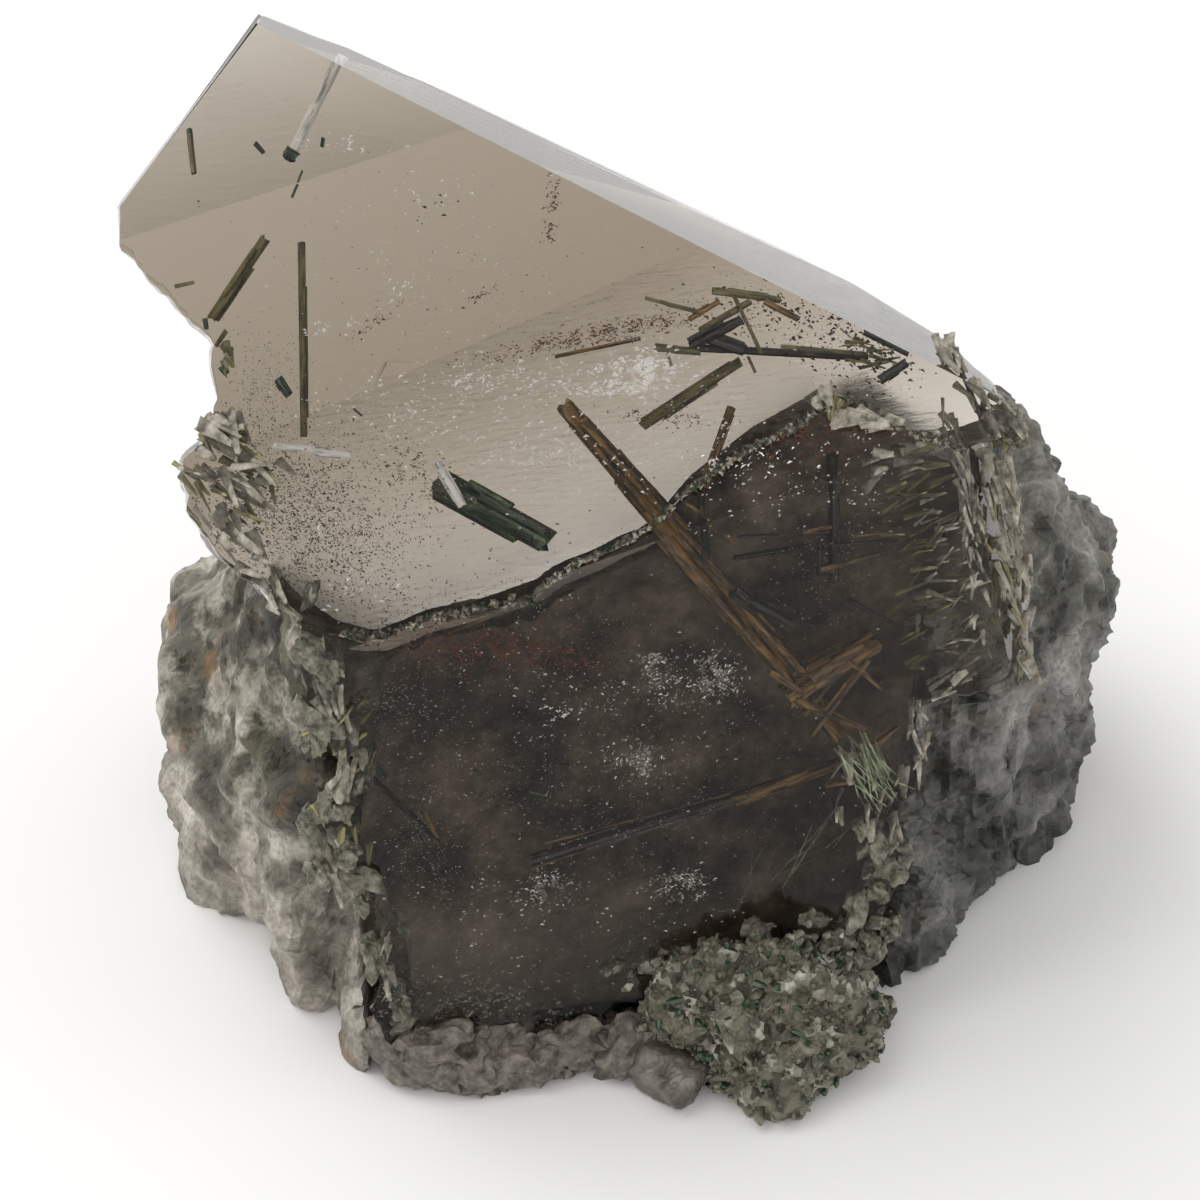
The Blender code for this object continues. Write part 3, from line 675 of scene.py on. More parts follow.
def matrix_finish():
    """Milky and grey vein quartz: dull, slightly frosted stone with green epidote dust and dark hollows,
    and painted shade low on the grey side.
    """
    made, tree, shader = finish_named("vein_quartz_with_epidote_dust")
    place = add(tree, "TexCoord").outputs["Object"]
    apart = add(tree, "SeparateXYZ", {"Vector": place})
    side = spread(tree, apart.outputs["X"], -6.0 * MM, 8.0 * MM)
    low = spread(tree, apart.outputs["Z"], 22.0 * MM, 6.0 * MM, 0.0, 0.65)
    # Painted shade: the grey quartz darkens to 55 per cent towards the floor.
    painted_foot_shade = spread(tree, apart.outputs["Z"], 24.0 * MM, 8.0 * MM, 1.0, 0.55)
    patches = noise_of(tree, place, 5.0, 5.0, 0.6)
    milky = ramp(tree, patches, [
        (0.30, "34302A"), (0.41, "5F5B4D"), (0.50, "8F8A7C"), (0.60, "AFA99C"), (0.72, "CFCAC0"),
    ])
    pinkish = ramp(tree, patches, [(0.32, "6B635A"), (0.45, "9C9489"), (0.58, "BDB5AB"), (0.72, "D9D3CB")])
    grey = ramp(tree, patches, [
        (0.28, "2B2A28"), (0.42, "57564F"), (0.52, "7F7E78"), (0.64, "9E9D98"), (0.76, "C4C3BE"),
    ])
    olive = ramp(tree, patches, [(0.35, "201F16"), (0.52, "434130"), (0.72, "716F54")])
    milky = blend(tree, low, milky, pinkish)
    # The grey side takes the painted shade.
    stone = blend(tree, side, milky, blend(tree, 1.0, grey, painted_foot_shade, "MULTIPLY"))
    dusty = spread(tree, noise_of(tree, place, 4.4, 6.0, 0.62), 0.45, 0.53)
    greener = reckoned(tree, "SUBTRACT", spread(tree, side, 0.0, 1.0, 1.0, 0.35), low)
    stone = blend(tree, reckoned(tree, "MULTIPLY", dusty, greener), stone, olive)
    grain = noise_of(tree, place, 0.35, 3.0)
    stone = blend(tree, 1.0, stone, spread(tree, grain, 0.3, 0.7, 0.72, 1.2), "MULTIPLY")
    rusty = add(tree, "TexNoise", {"Vector": place, "Scale": sized(6.0), "Detail": 5.0, "W": 2.0},
                noise_dimensions="4D")
    iron = spread(tree, rusty.outputs["Fac"], 0.60, 0.68, 0.0, 0.55)
    stone = blend(tree, iron, stone, colour("8A6238"))
    dressed(tree, shader, stone, spread(tree, grain, 0.0, 1.0, 0.35, 0.75), grain, 0.6, 0.12)
    return made


vein_quartz = matrix_finish()
bm = worked_copy("matrix", MATRIX_VOXEL, MATRIX_SWELL, matrix_relief)
for vert in bm.verts:
    vert.co = tucked_in(vert.co)
matrix = made_piece(bm, "rough_matrix", vein_quartz)
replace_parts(matrix, "matrix")

# %% [markdown]
# ## Dark rock inside the stem
# Through the big face the eye sees light from behind the crystal. Through the lower face it sees dark
# rock a few millimetres in, right up to the broken ledge. This is one rough slab inside the stem whose
# top edge follows the ledge. It is extruded from that outline, cut parallel to the lower face, and
# roughened.

# %% Slab behind the lower face
DARK_ROCK_OUTLINE = [
    (23.9, 4.0), (21.0, -3.0), (19.6, -8.0), (18.6, -13.0), (17.0, -19.0), (14.5, -25.0), (11.0, -31.0),
    (6.0, -34.5), (-8.0, -33.0), (-12.4, -30.5), (-13.2, -24.0), (-14.0, -19.0), (-16.6, -15.0),
    (-15.6, -10.0), (-15.2, -5.0),
]
SLAB_LEFT = -15.0         # mm, where the slab ends at the left
SLAB_BELOW_LEDGE = 0.2
SLAB_FRONT = 2.0
SLAB_BACK = -34.0
SLAB_STEP = 0.6           # mm between the corners of its rim
SLAB_VOXEL = 0.4
FLOOR_GAP = 0.0002        # m that it stays off the floor
DARK_ROCK_RECEDES = (PRISM_FACE + DOWN_PRISM_FACE * SLAB_RECEDES).normalized()


def dark_rock():
    """The slab, from its outline in the picture plane back along the sight lines."""
    bm = bmesh.new()
    top = [(max(right, SLAB_LEFT), up - SLAB_BELOW_LEDGE) for right, up in LEDGE]
    bm.faces.new([bm.verts.new((right, up, SLAB_FRONT)) for right, up in top + DARK_ROCK_OUTLINE])
    for edge in list(bm.edges):
        bmesh.ops.subdivide_edges(bm, edges=[edge], cuts=int(edge.calc_length() / SLAB_STEP))
    for vert in bm.verts:
        vert.co.xy += noise.noise_vector(vert.co / 1.1).xy * 0.25
    grown = bmesh.ops.extrude_face_region(bm, geom=bm.faces[:])["geom"]
    ends = [item for item in grown if isinstance(item, bmesh.types.BMVert)]
    bmesh.ops.translate(bm, vec=(0.0, 0.0, SLAB_BACK - SLAB_FRONT), verts=ends)
    for vert in bm.verts:
        vert.co = in_frame(lined_up(*vert.co))
    cut_face(bm, PRISM_FACE_POINT - PRISM_FACE * DARK_ROCK_DEPTH, DARK_ROCK_RECEDES)
    cut(bm, (0.0, 0.0, FLOOR_GAP), (0.0, 0.0, -1.0))
    bm = even_cells(bm, "dark_rock", SLAB_VOXEL)
    return pushed_out(bm, lambda place: rock_height(place, 3.0, 0.3, 9.0) * 0.45 - 0.1)


def dark_rock_finish():
    """Dark chlorite-stained quartz seen through clear quartz: brown-black with paler clouds."""
    made, tree, shader = finish_named("dark_stained_rock")
    place = add(tree, "TexCoord").outputs["Object"]
    clouds = noise_of(tree, place, 6.0, 6.0, 0.62)
    dark = ramp(tree, clouds, [
        (0.32, "221C17"), (0.43, "4C423A"), (0.54, "776A5D"), (0.65, "A09387"), (0.77, "C8BDB1"),
    ])
    milky = ramp(tree, clouds, [(0.3, "A79D92"), (0.5, "D3CCC3"), (0.7, "F2EEE8")])
    apart = add(tree, "SeparateXYZ", {"Vector": place})
    low = spread(tree, apart.outputs["Z"], 12.0 * MM, 3.0 * MM)
    left = spread(tree, apart.outputs["X"], 8.0 * MM, -4.0 * MM, 0.3)
    tone = blend(tree, reckoned(tree, "MULTIPLY", low, left), dark, milky)
    veins = noise_of(tree, place, 1.2, 5.0, 0.7)
    tone = blend(tree, spread(tree, veins, 0.62, 0.74, 0.0, 0.4), tone, colour("4C3220"))
    dressed(tree, shader, tone, 0.6, veins, 0.5, 0.15)
    return made


made_piece(dark_rock(), "rock_inside_the_stem", dark_rock_finish())

# %% [markdown]
# ## Epidote crust and quartz chip at the foot
# A crust of tiny epidote grains sits at the lower right, with a chip of milky quartz beside it. Both are
# worked up from their CAD solids in the same way as the rock.

# %% Crust and chip
CRUST_VOXEL = 0.22
CHIP_VOXEL = 0.25
SMALL_SWELL = 0.1


def crust_relief(place):
    """Lumps upon lumps, and the grain of the crust."""
    fine = noise.voronoi(place / 0.8)[0][0]
    lumps = rock_height(place, 5.0, 0.3, 5.0) * 1.5 + rock_height(place, 1.6, 0.4, 2.0) * 0.4
    return (0.5 - fine) * 0.35 + lumps


def crust_finish():
    """Granular epidote: pistachio to grey-green grains with pale quartz between them."""
    made, tree, shader = finish_named("granular_epidote")
    place = add(tree, "TexCoord").outputs["Object"]
    cells = add(tree, "TexVoronoi", {"Vector": place, "Scale": sized(0.7)})
    shade = add(tree, "SeparateColor", {"Color": cells.outputs["Color"]}).outputs[0]
    tone = ramp(tree, shade, [
        (0.0, "26251C"), (0.3, "484636"), (0.55, "706D5F"), (0.8, "9A9686"), (1.0, "C2BEB0"),
    ])
    patches = noise_of(tree, place, 2.4, 5.0, 0.65)
    hollows = ramp(tree, patches, [(0.35, "22211A"), (0.48, "454335"), (0.60, "6F6C5A"), (0.74, "98947F")])
    tone = blend(tree, spread(tree, patches, 0.42, 0.58), tone, hollows)
    dressed(tree, shader, tone, 0.55, noise_of(tree, place, 0.3, 3.0), 0.6, 0.12)
    return made


granular_epidote = crust_finish()
bm = worked_copy("epidote_crust", CRUST_VOXEL, SMALL_SWELL, crust_relief)
crust = made_piece(bm, "granular_crust", granular_epidote)
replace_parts(crust, "epidote_crust")


def chip_relief(place):
    """A few broken steps."""
    return rock_height(place, 2.6, 0.5, 2.0) * 0.45 - 0.1


def milky_finish():
    """Milky quartz: white haze in a translucent stone, with a wet-looking broken surface."""
    made, tree, shader = finish_named("milky_quartz_chip")
    place = add(tree, "TexCoord").outputs["Object"]
    haze = noise_of(tree, place, 2.0, 5.0)
    tone = ramp(tree, haze, [(0.3, "4F4A42"), (0.5, "7D766B"), (0.7, "A9A398")])
    shader.inputs["IOR"].default_value = QUARTZ_IOR
    shader.inputs["Transmission Weight"].default_value = 0.35
    dressed(tree, shader, tone, 0.32, haze, 0.3, 0.2)
    return made


bm = worked_copy("quartz_chip", CHIP_VOXEL, SMALL_SWELL, chip_relief)
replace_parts(made_piece(bm, "milky_chip", milky_finish()), "quartz_chip")

# %% [markdown]
# ## Epidote prisms
# Epidote grows as long prisms that are deeply striated along their length, often several laths side by
# side. A lath starts as a twelve-sided cylinder, is divided along its length, and gets a different radius
# on each side and a few steps along it. Each corner also keeps its place in the lath's own millimetres,
# stretched along the lath, as an attribute, so that streaks of colour follow the prism however it lies in
# the crystal.

# %% Places under the crystal's faces
DEPTH_ROUNDS = 4          # rounds that bring the depth of a face within a hair


def face_depth(face, point, right, up):
    """How deep a crystal face lies where the camera sees it at (right, up)."""
    depth = 0.0
    for _ in range(DEPTH_ROUNDS):
        spot = lined_up(right, up, depth)
        depth = point.z - (face.x * (spot.x - point.x) + face.y * (spot.y - point.y)) / face.z
    return depth


def below_face(face, point, right, up, below):
    """The place at a depth below a face that the camera sees at (right, up) through the bent sight line."""
    bend = 1.0 / QUARTZ_IOR
    steepness = math.sqrt(1.0 - bend**2 * (1.0 - face.z**2))
    inside = Vector((0.0, 0.0, -bend)) + face * (bend * face.z - steepness)
    entry = lined_up(right, up, face_depth(face, point, right, up))
    return entry - inside * (below / inside.dot(face))


def under_big(right, up, below):
    """A place under the big face."""
    return below_face(BIG_FACE, BIG_FACE_POINT, right, up, below)


def under_prism(right, up, below):
    """A place under the prism face."""
    return below_face(PRISM_FACE, PRISM_FACE_POINT, right, up, below)


print("ledge point under the prism face:", [round(value, 1) for value in under_prism(5.0, 2.0, 3.0)])

# %% [markdown]
# ## Laths and bundles
# One lath is one crystal. A bundle is a full-size lath with thinner and shorter ones grown against it.

# %% Laths and bundles
LATH_SIDES = 12
LATH_STEP = 0.45          # mm between the rings of a lath
STREAK_STRETCH = 0.16     # streaks are about six times longer than wide


def add_to(whole, bm):
    """Moves what a bmesh holds into another bmesh."""
    passing = bpy.data.meshes.new("passing")
    bm.to_mesh(passing)
    bm.free()
    whole.from_mesh(passing)
    bpy.data.meshes.remove(passing)


def between(start, end):
    """The placement that lays a shape modelled along Z from one world point to another."""
    along = end - start
    return Matrix.Translation((start + end) / 2) @ along.to_track_quat("Z", "Y").to_matrix().to_4x4()


def lath(whole, start, end, width, flatness, roll, seed, taper=0.92):
    """Adds one striated prism between two places of the face frame to a bmesh."""
    draw = random.Random(seed)
    start, end = in_frame(start), in_frame(end)
    length = (end - start).length / MM
    bm = bmesh.new()
    grain = bm.verts.layers.float_vector.new("grain")
    bmesh.ops.create_cone(bm, cap_ends=True, segments=LATH_SIDES, radius1=1.0, radius2=taper, depth=length)
    long_edges = [edge for edge in bm.edges if abs(edge.verts[0].co.z - edge.verts[1].co.z) > length / 2]
    bmesh.ops.subdivide_edges(bm, edges=long_edges, cuts=max(1, int(length / LATH_STEP)))
    ridges = [draw.uniform(0.78, 1.0) for _ in range(LATH_SIDES)]
    shift = Vector([draw.uniform(0.0, 90.0) for _ in range(3)])
    for vert in bm.verts:
        side = round(math.atan2(vert.co.y, vert.co.x) / math.tau * LATH_SIDES) % LATH_SIDES
        steps = 1.0 - 0.10 * (noise.cell(Vector((side * 3.1, vert.co.z * 0.8, seed * 1.7))) > 0.55)
        vert.co.xy *= ridges[side] * steps
        if abs(vert.co.z) > length / 2 - 0.01:
            vert.co.z += draw.uniform(-0.16, 0.10) * width * math.copysign(1.0, vert.co.z)
        vert.co.xy *= width / 2
        vert.co.y *= flatness
        vert[grain] = Vector((vert.co.x, vert.co.y, vert.co.z * STREAK_STRETCH)) + shift
        vert.co *= MM
    turn = Matrix.Rotation(math.radians(roll), 4, "Z")
    bmesh.ops.transform(bm, matrix=between(start, end) @ turn, verts=bm.verts)
    add_to(whole, bm)


def bundle(bm, start, end, width, flatness, seed, laths):
    """Laths side by side, the first one full size and the rest thinner and shorter."""
    draw = random.Random(seed)
    start, end = Vector(start), Vector(end)
    along = (end - start).normalized()
    across = along.cross(Vector((0.0, 0.0, 1.0))).normalized()
    lath(bm, start, end, width, flatness, 20.0, seed)
    for number in range(laths):
        near = draw.uniform(0.0, 0.35)
        far = draw.uniform(0.55, 1.0)
        aside = across * draw.uniform(-0.42, 0.42) * width
        aside = aside + Vector((0.0, 0.0, draw.uniform(-0.2, 0.3) * width))
        lath(
            bm, start.lerp(end, near) + aside, start.lerp(end, far) + aside,
            width * draw.uniform(0.3, 0.55), 0.8, draw.uniform(0.0, 90.0), seed * 7.3 + number,
        )


# %% [markdown]
# ## Looks of the prisms
# Four looks cover the prisms and a fifth their white fillings. Most prisms are nearly black, and some are
# olive, where light gets through them. The long crossed ones are weathered to rust and gold
# with black left in the grooves. The stubby one is bottle green. The white fillings also give painted
# light of their own, so that they stay bright inside the glass.

# %% Finishes of epidote
EPIDOTE_IOR = 1.73


def epidote_finish(name, stops, gloss, streak, painted_glow=0.0):
    """Glassy epidote with streaks of colour along the prism. A white filling is given a little painted
    light of its own.
    """
    made, tree, shader = finish_named(name)
    grain = add(tree, "Attribute", attribute_name="grain").outputs["Vector"]
    inputs = {"Vector": grain, "Scale": 1.0 / streak, "Detail": 6.0, "Roughness": 0.68}
    streaks = add(tree, "TexNoise", inputs)
    fine = add(tree, "TexNoise", {"Vector": grain, "Scale": 3.0 / streak, "Detail": 4.0}).outputs["Fac"]
    tone = ramp(tree, streaks.outputs["Fac"], stops)
    tree.links.new(tone, shader.inputs["Emission Color"])
    shader.inputs["Emission Strength"].default_value = painted_glow
    shader.inputs["IOR"].default_value = EPIDOTE_IOR
    dressed(tree, shader, tone, spread(tree, fine, 0.0, 1.0, gloss, gloss + 0.35), fine, 0.7, 0.08)
    return made


dark_epidote = epidote_finish("dark_olive_epidote", [
    (0.36, "060504"), (0.50, "14120A"), (0.60, "37321D"), (0.69, "746A40"), (0.80, "BDB277"),
], 0.2, 0.35)
olive_epidote = epidote_finish("olive_epidote", [
    (0.30, "1C190F"), (0.41, "504A2D"), (0.50, "787145"), (0.61, "968E5A"), (0.76, "C4BC86"),
], 0.25, 0.4)
rusty_epidote = epidote_finish("rust_stained_epidote", [
    (0.33, "110D08"), (0.42, "3A2A15"), (0.50, "7F6032"), (0.59, "B0894C"), (0.69, "D2AF70"),
    (0.82, "EBD8A6"),
], 0.3, 0.45)
green_epidote = epidote_finish("bottle_green_epidote", [
    (0.32, "070C07"), (0.44, "152415"), (0.53, "2E4A28"), (0.62, "5F8646"), (0.74, "B2D27C"),
], 0.15, 0.4)
# The white filling gives light of its own at strength 0.2: painted light that keeps it bright inside the
# glass.
pale_filling_with_painted_light = epidote_finish("white_channel_filling_painted_light", [
    (0.30, "2B2C2A"), (0.40, "8F8E88"), (0.48, "D8D6D0"), (0.66, "F4F2EE"), (0.85, "FFFFFF"),
], 0.4, 0.5, 0.2)

# %% [markdown]
# ## The sealed prisms of the CAD model
# Each of these replaces its CAD node and lies exactly where that node lies. The rows give the face that
# the prism is seen through, its two ends on the picture plane with their depth below that face, its width
# and flatness, how many side laths it has, and its look.

# %% Sealed prisms
SEALED = [
    ("upright_needle", under_big, (-20.0, 24.0, 2.8), (-19.9, 11.0, 4.8), 0.62, 0.9, 2, olive_epidote),
    ("left_prism", under_big, (-22.4, 24.2, 2.6), (-26.1, 18.9, 4.6), 1.0, 0.7, 3, olive_epidote),
    ("tip_tube", under_big, (-17.6, 36.3, 4.9), (-20.6, 30.0, 2.8), 0.95, 0.8, 3, pale_filling_with_painted_light),
    ("edge_needle", under_big, (-27.6, 31.6, 4.7), (-27.2, 28.6, 2.9), 0.5, 0.9, 1, olive_epidote),
    ("stubby_prism", under_big, (-10.8, 8.0, 4.6), (-3.4, 3.9, 2.5), 2.1, 0.65, 6, green_epidote),
    ("cross_needle", under_big, (6.4, 16.9, 2.8), (18.0, 16.3, 4.8), 0.6, 0.9, 2, dark_epidote),
    ("olive_prism", under_big, (2.8, 11.7, 4.9), (9.4, 16.0, 3.2), 0.9, 0.7, 4, olive_epidote),
    ("short_prism", under_big, (8.8, 12.9, 2.6), (6.9, 7.6, 4.0), 0.8, 0.8, 3, rusty_epidote),
    ("dark_post", under_prism, (15.7, 9.3, 2.0), (15.7, 1.2, 3.3), 0.95, 0.8, 4, dark_epidote),
    ("level_needle", under_prism, (9.0, 2.8, 2.3), (13.9, 3.6, 3.5), 0.6, 0.9, 2, dark_epidote),
    ("lower_prism", under_prism, (-4.6, -17.4, 2.3), (17.6, -10.6, 4.2), 1.25, 0.75, 6, dark_epidote),
    ("left_spray", under_prism, (-15.6, -11.6, 2.3), (-10.8, -16.2, 4.2), 0.6, 0.9, 2, dark_epidote),
]

for number, (name, under, start, end, width, flatness, laths, look) in enumerate(SEALED):
    bm = bmesh.new()
    bundle(bm, under(*start), under(*end), width, flatness, number + 1, laths)
    slot = "rusty_epidote" if name == "short_prism" else "epidote"
    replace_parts(made_piece(bm, name + "_laths", look), "epidote_" + name)

CROSSED = [
    (under_big(-2.4, 13.0, 0.9), under_prism(16.0, -9.2, 2.2), 1.5, 0.7, 7),
    (under_big(-1.1, 12.0, 1.1), under_prism(13.8, -5.0, 2.7), 1.0, 0.7, 4),
    (under_prism(12.4, -6.4, 1.9), under_prism(18.4, -2.7, 3.1), 2.5, 0.35, 6),
    (under_prism(13.6, -7.6, 1.9), under_prism(17.4, -2.9, 3.6), 0.9, 0.6, 3),
]
bm = bmesh.new()
for number, (start, end, width, flatness, laths) in enumerate(CROSSED):
    bundle(bm, start, end, width, flatness, 40 + number, laths)
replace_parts(made_piece(bm, "crossed_prism_laths", rusty_epidote), "epidote_crossed_prisms")

# %% [markdown]
# ## Thinner inclusions
# Between the big prisms lie thin needles, rods and slivers. They are made from the same laths, a row
# each, and joined by look, so that each look is one piece.

# %% Thin needles and slivers
THIN = {
    "thin_olive_needles": ("epidote", olive_epidote, [
        (under_big, (-25.0, 18.0, 1.8), (-25.7, 17.0, 2.2), 0.45, 1),
        (under_big, (-28.5, 21.0, 3.0), (-27.2, 21.3, 3.0), 0.35, 0),
        (under_big, (7.5, 20.7, 2.2), (12.1, 20.1, 2.8), 0.60, 2),
        (under_big, (6.7, 18.0, 1.8), (10.1, 20.0, 2.6), 0.55, 2),
        (under_big, (9.0, 20.3, 2.0), (10.8, 16.5, 2.6), 0.30, 1),
        (under_big, (3.7, 16.9, 2.0), (6.7, 16.6, 2.4), 0.70, 3),
        (under_big, (3.0, 20.2, 1.6), (6.7, 19.2, 2.0), 0.28, 1),
        (under_big, (12.1, 17.0, 2.2), (17.9, 16.5, 2.6), 0.30, 1),
        (under_big, (4.5, 16.5, 1.8), (4.8, 15.6, 1.9), 0.25, 0),
        (under_big, (9.9, 16.3, 1.8), (10.4, 15.2, 1.9), 0.25, 0),
        (under_prism, (20.3, 9.7, 0.8), (23.0, 10.5, 0.8), 0.30, 1),
    ]),
    "thin_dark_needles": ("epidote", dark_epidote, [
        (under_big, (23.5, 16.9, 0.8), (25.5, 12.1, 1.2), 0.45, 1),
        (under_big, (6.0, 17.0, 2.4), (9.5, 18.8, 2.0), 0.90, 4),
        (under_big, (7.0, 17.7, 2.6), (9.7, 16.7, 2.2), 1.00, 3),
        (under_big, (17.7, 18.0, 1.8), (20.7, 16.5, 1.4), 0.70, 3),
        (under_big, (18.7, 14.7, 1.6), (20.5, 15.9, 1.4), 0.80, 2),
        (under_prism, (9.2, 4.2, 2.4), (15.4, 4.6, 2.8), 0.35, 2),
        (under_prism, (15.7, 3.7, 2.2), (20.0, 4.0, 2.6), 0.40, 2),
        (under_prism, (6.9, 6.7, 1.8), (7.1, 2.7, 2.8), 0.60, 2),
        (under_prism, (8.9, 0.5, 1.5), (10.5, -0.8, 1.8), 1.10, 4),
        (under_prism, (10.1, 0.0, 1.5), (12.8, -1.5, 1.8), 0.90, 3),
        (under_prism, (14.7, 3.5, 1.8), (14.8, 1.7, 2.2), 0.85, 3),
        (under_prism, (16.2, -10.3, 1.2), (16.2, -11.5, 1.6), 0.55, 2),
        (under_prism, (15.1, -13.3, 1.4), (15.6, -14.8, 1.8), 0.90, 2),
        (under_prism, (-13.3, -13.3, 2.4), (-10.7, -18.5, 3.0), 0.25, 0),
        (under_prism, (16.7, 0.0, 2.0), (20.3, -1.9, 2.4), 0.45, 2),
    ]),
    "rusty_slivers": ("rusty_epidote", rusty_epidote, [
        (under_big, (6.0, 18.8, 2.2), (8.0, 20.0, 2.2), 0.45, 2),
        (under_big, (4.5, 19.8, 2.0), (7.0, 19.2, 2.2), 0.35, 1),
        (under_big, (11.0, 20.0, 2.2), (13.3, 18.8, 2.4), 0.55, 2),
        (under_big, (-3.0, 16.3, 3.0), (2.7, 17.5, 2.8), 0.30, 2),
        (under_prism, (5.9, 6.1, 1.8), (9.0, 3.9, 2.2), 0.28, 1),
        (under_prism, (11.2, 4.3, 2.0), (13.3, 4.7, 2.0), 0.30, 1),
        (under_prism, (13.6, 4.5, 2.0), (15.5, 4.9, 2.0), 0.34, 1),
        (under_prism, (14.8, 2.0, 1.8), (18.7, 3.1, 2.0), 0.55, 2),
        (under_prism, (17.1, 4.3, 2.0), (19.3, 4.5, 2.0), 0.22, 0),
        (under_prism, (11.3, -4.8, 1.0), (13.7, -6.3, 1.2), 0.55, 2),
        (under_prism, (13.1, -6.7, 0.9), (17.7, -8.7, 1.2), 0.75, 3),
        (under_prism, (14.1, -9.0, 0.9), (17.9, -4.0, 1.2), 0.65, 3),
        (under_prism, (16.1, -11.2, 0.9), (20.0, -8.4, 1.0), 0.60, 2),
        (under_prism, (15.1, -12.4, 0.9), (17.5, -12.0, 1.1), 0.50, 2),
        (under_prism, (16.5, -4.0, 1.0), (18.9, -6.0, 1.3), 0.40, 2),
        (under_prism, (-12.0, -14.1, 2.4), (-10.9, -15.9, 2.8), 0.35, 1),
        (under_prism, (-4.7, -18.0, 2.2), (6.7, -14.2, 3.0), 0.16, 0),
        (under_prism, (-3.7, -16.3, 2.2), (8.7, -13.0, 3.2), 0.14, 0),
        (under_prism, (9.0, -13.5, 3.0), (17.9, -10.1, 3.9), 1.15, 4),
    ]),
    "pale_rods": ("epidote", pale_filling_with_painted_light, [
        (under_big, (-21.9, 10.3, 1.8), (-18.9, 10.1, 2.0), 0.50, 2),
        (under_big, (-19.2, 10.0, 2.0), (-16.7, 9.7, 2.2), 0.75, 2),
        (under_big, (-10.9, 9.2, 1.8), (-9.2, 6.3, 2.0), 0.80, 3),
    ]),
    "green_specks": ("epidote", green_epidote, [
        (under_big, (-18.5, 30.9, 1.4), (-18.6, 30.3, 1.6), 0.35, 1),
        (under_big, (-19.9, 28.7, 1.4), (-20.2, 27.9, 1.4), 0.22, 0),
        (under_big, (-20.2, 27.8, 1.4), (-20.6, 26.9, 1.4), 0.28, 0),
        (under_big, (-26.4, 18.8, 1.0), (-26.3, 18.1, 1.0), 0.40, 0),
        (under_big, (-16.5, 12.8, 1.4), (-15.9, 12.3, 1.4), 0.20, 0),
        (under_big, (-21.5, 14.8, 1.2), (-20.8, 13.7, 1.4), 0.75, 2),
        (under_big, (-25.3, 15.6, 0.8), (-24.9, 15.1, 0.9), 0.60, 1),
        (under_big, (-21.1, 30.1, 2.2), (-20.3, 29.6, 2.4), 0.95, 2),
        (under_big, (-23.1, 30.6, 2.0), (-22.5, 29.9, 2.0), 0.40, 0),
        (under_prism, (-5.7, -11.7, 1.6), (-4.1, -12.3, 1.6), 0.20, 0),
        (under_prism, (-4.7, -12.8, 1.6), (-3.5, -13.1, 1.6), 0.20, 0),
        (under_prism, (-15.6, -10.4, 1.2), (-14.4, -11.9, 1.6), 1.00, 2),
        (under_prism, (-8.5, -11.3, 1.4), (-7.9, -11.7, 1.4), 0.35, 0),
    ]),
}

for number, (name, (slot, look, rows)) in enumerate(THIN.items()):
    bm = bmesh.new()
    for order, (under, start, end, width, laths) in enumerate(rows):
        bundle(bm, under(*start), under(*end), width, 0.75, 100.0 * (number + 1) + order, laths)
    made_piece(bm, name, look)

# %% [markdown]
# ## Veils, dust and stains
# Old cracks in quartz heal and leave sheets of tiny fluid films, which sparkle white. Dust of hematite
# makes rusty smears along buried needles. Each veil here is a soft cloud of thousands of thin flakes: one
# little flake is modelled, and its copies are laid out by arrays and joined, because ten thousand
# separate objects would be unworkable. A row gives the face, the middle of the cloud, its half width and
# half height, its tilt in degrees, from which to which depth it lies, and the number and size of its
# flakes.

# %% Scattering flakes
def flake(length, width, thickness):
    """A thin three-sided flake about one millimetre long."""
    bm = bmesh.new()
    bmesh.ops.create_cone(bm, cap_ends=True, segments=3, radius1=0.5, radius2=0.12, depth=1.0)
    bmesh.ops.scale(bm, vec=(length * MM, width * MM, thickness * MM), verts=bm.verts)
    return bm


def beside(right, up, along, across, tilt):
    """The place that lies along and across a tilted line through (right, up)."""
    return (
        right + along * math.cos(tilt) - across * math.sin(tilt),
        up + along * math.sin(tilt) + across * math.cos(tilt),
    )


def scattered(template, placements):
    """Copies of one small shape at many placements, as one mesh."""
    template.verts.index_update()
    corners = numpy.array([vert.co[:] for vert in template.verts])
    faces = [[vert.index for vert in face.verts] for face in template.faces]
    template.free()
    places = []
    for placement in placements:
        turn = numpy.array(placement.to_3x3())
        places.append(corners @ turn.T + numpy.array(placement.translation[:]))
    polygons = [[corner + number * len(corners) for corner in face]
                for number in range(len(placements)) for face in faces]
    mesh = bpy.data.meshes.new("scattered")
    mesh.from_pydata(numpy.concatenate(places).tolist(), [], polygons)
    return mesh


CLUMP_SIZE = 0.9          # mm, how coarse the clumps in a veil are
CLOUD_EDGE = 2.2          # a cloud ends at this many of its half widths
SKIN = 0.3                # mm of clear quartz that every flake keeps above it
FACE_TURN = Matrix([turned((1, 0, 0)), turned((0, 1, 0)), turned((0, 0, 1))]).transposed()


def within_outline(outline, right, up):
    """Whether a level line from the place crosses the outline an odd number of times."""
    odd = False
    for (x1, y1), (x2, y2) in zip(outline, outline[1:] + outline[:1]):
        if (y1 > up) != (y2 > up) and right < x1 + (up - y1) * (x2 - x1) / (y2 - y1):
            odd = not odd
    return odd


def in_glass(under, right, up, spot):
    """Whether a place lies inside the head or the stem, and not too near its skin."""
    if under is under_big:
        clear = (BEVEL_FACE_POINT - spot).dot(BEVEL_FACE) > SKIN
        return clear and within_outline(HEAD_OUTLINE, right, up)
    return (SIDE_FACE_POINT - spot).dot(SIDE_FACE) > SKIN and within_outline(STEM_OUTLINE, right, up)


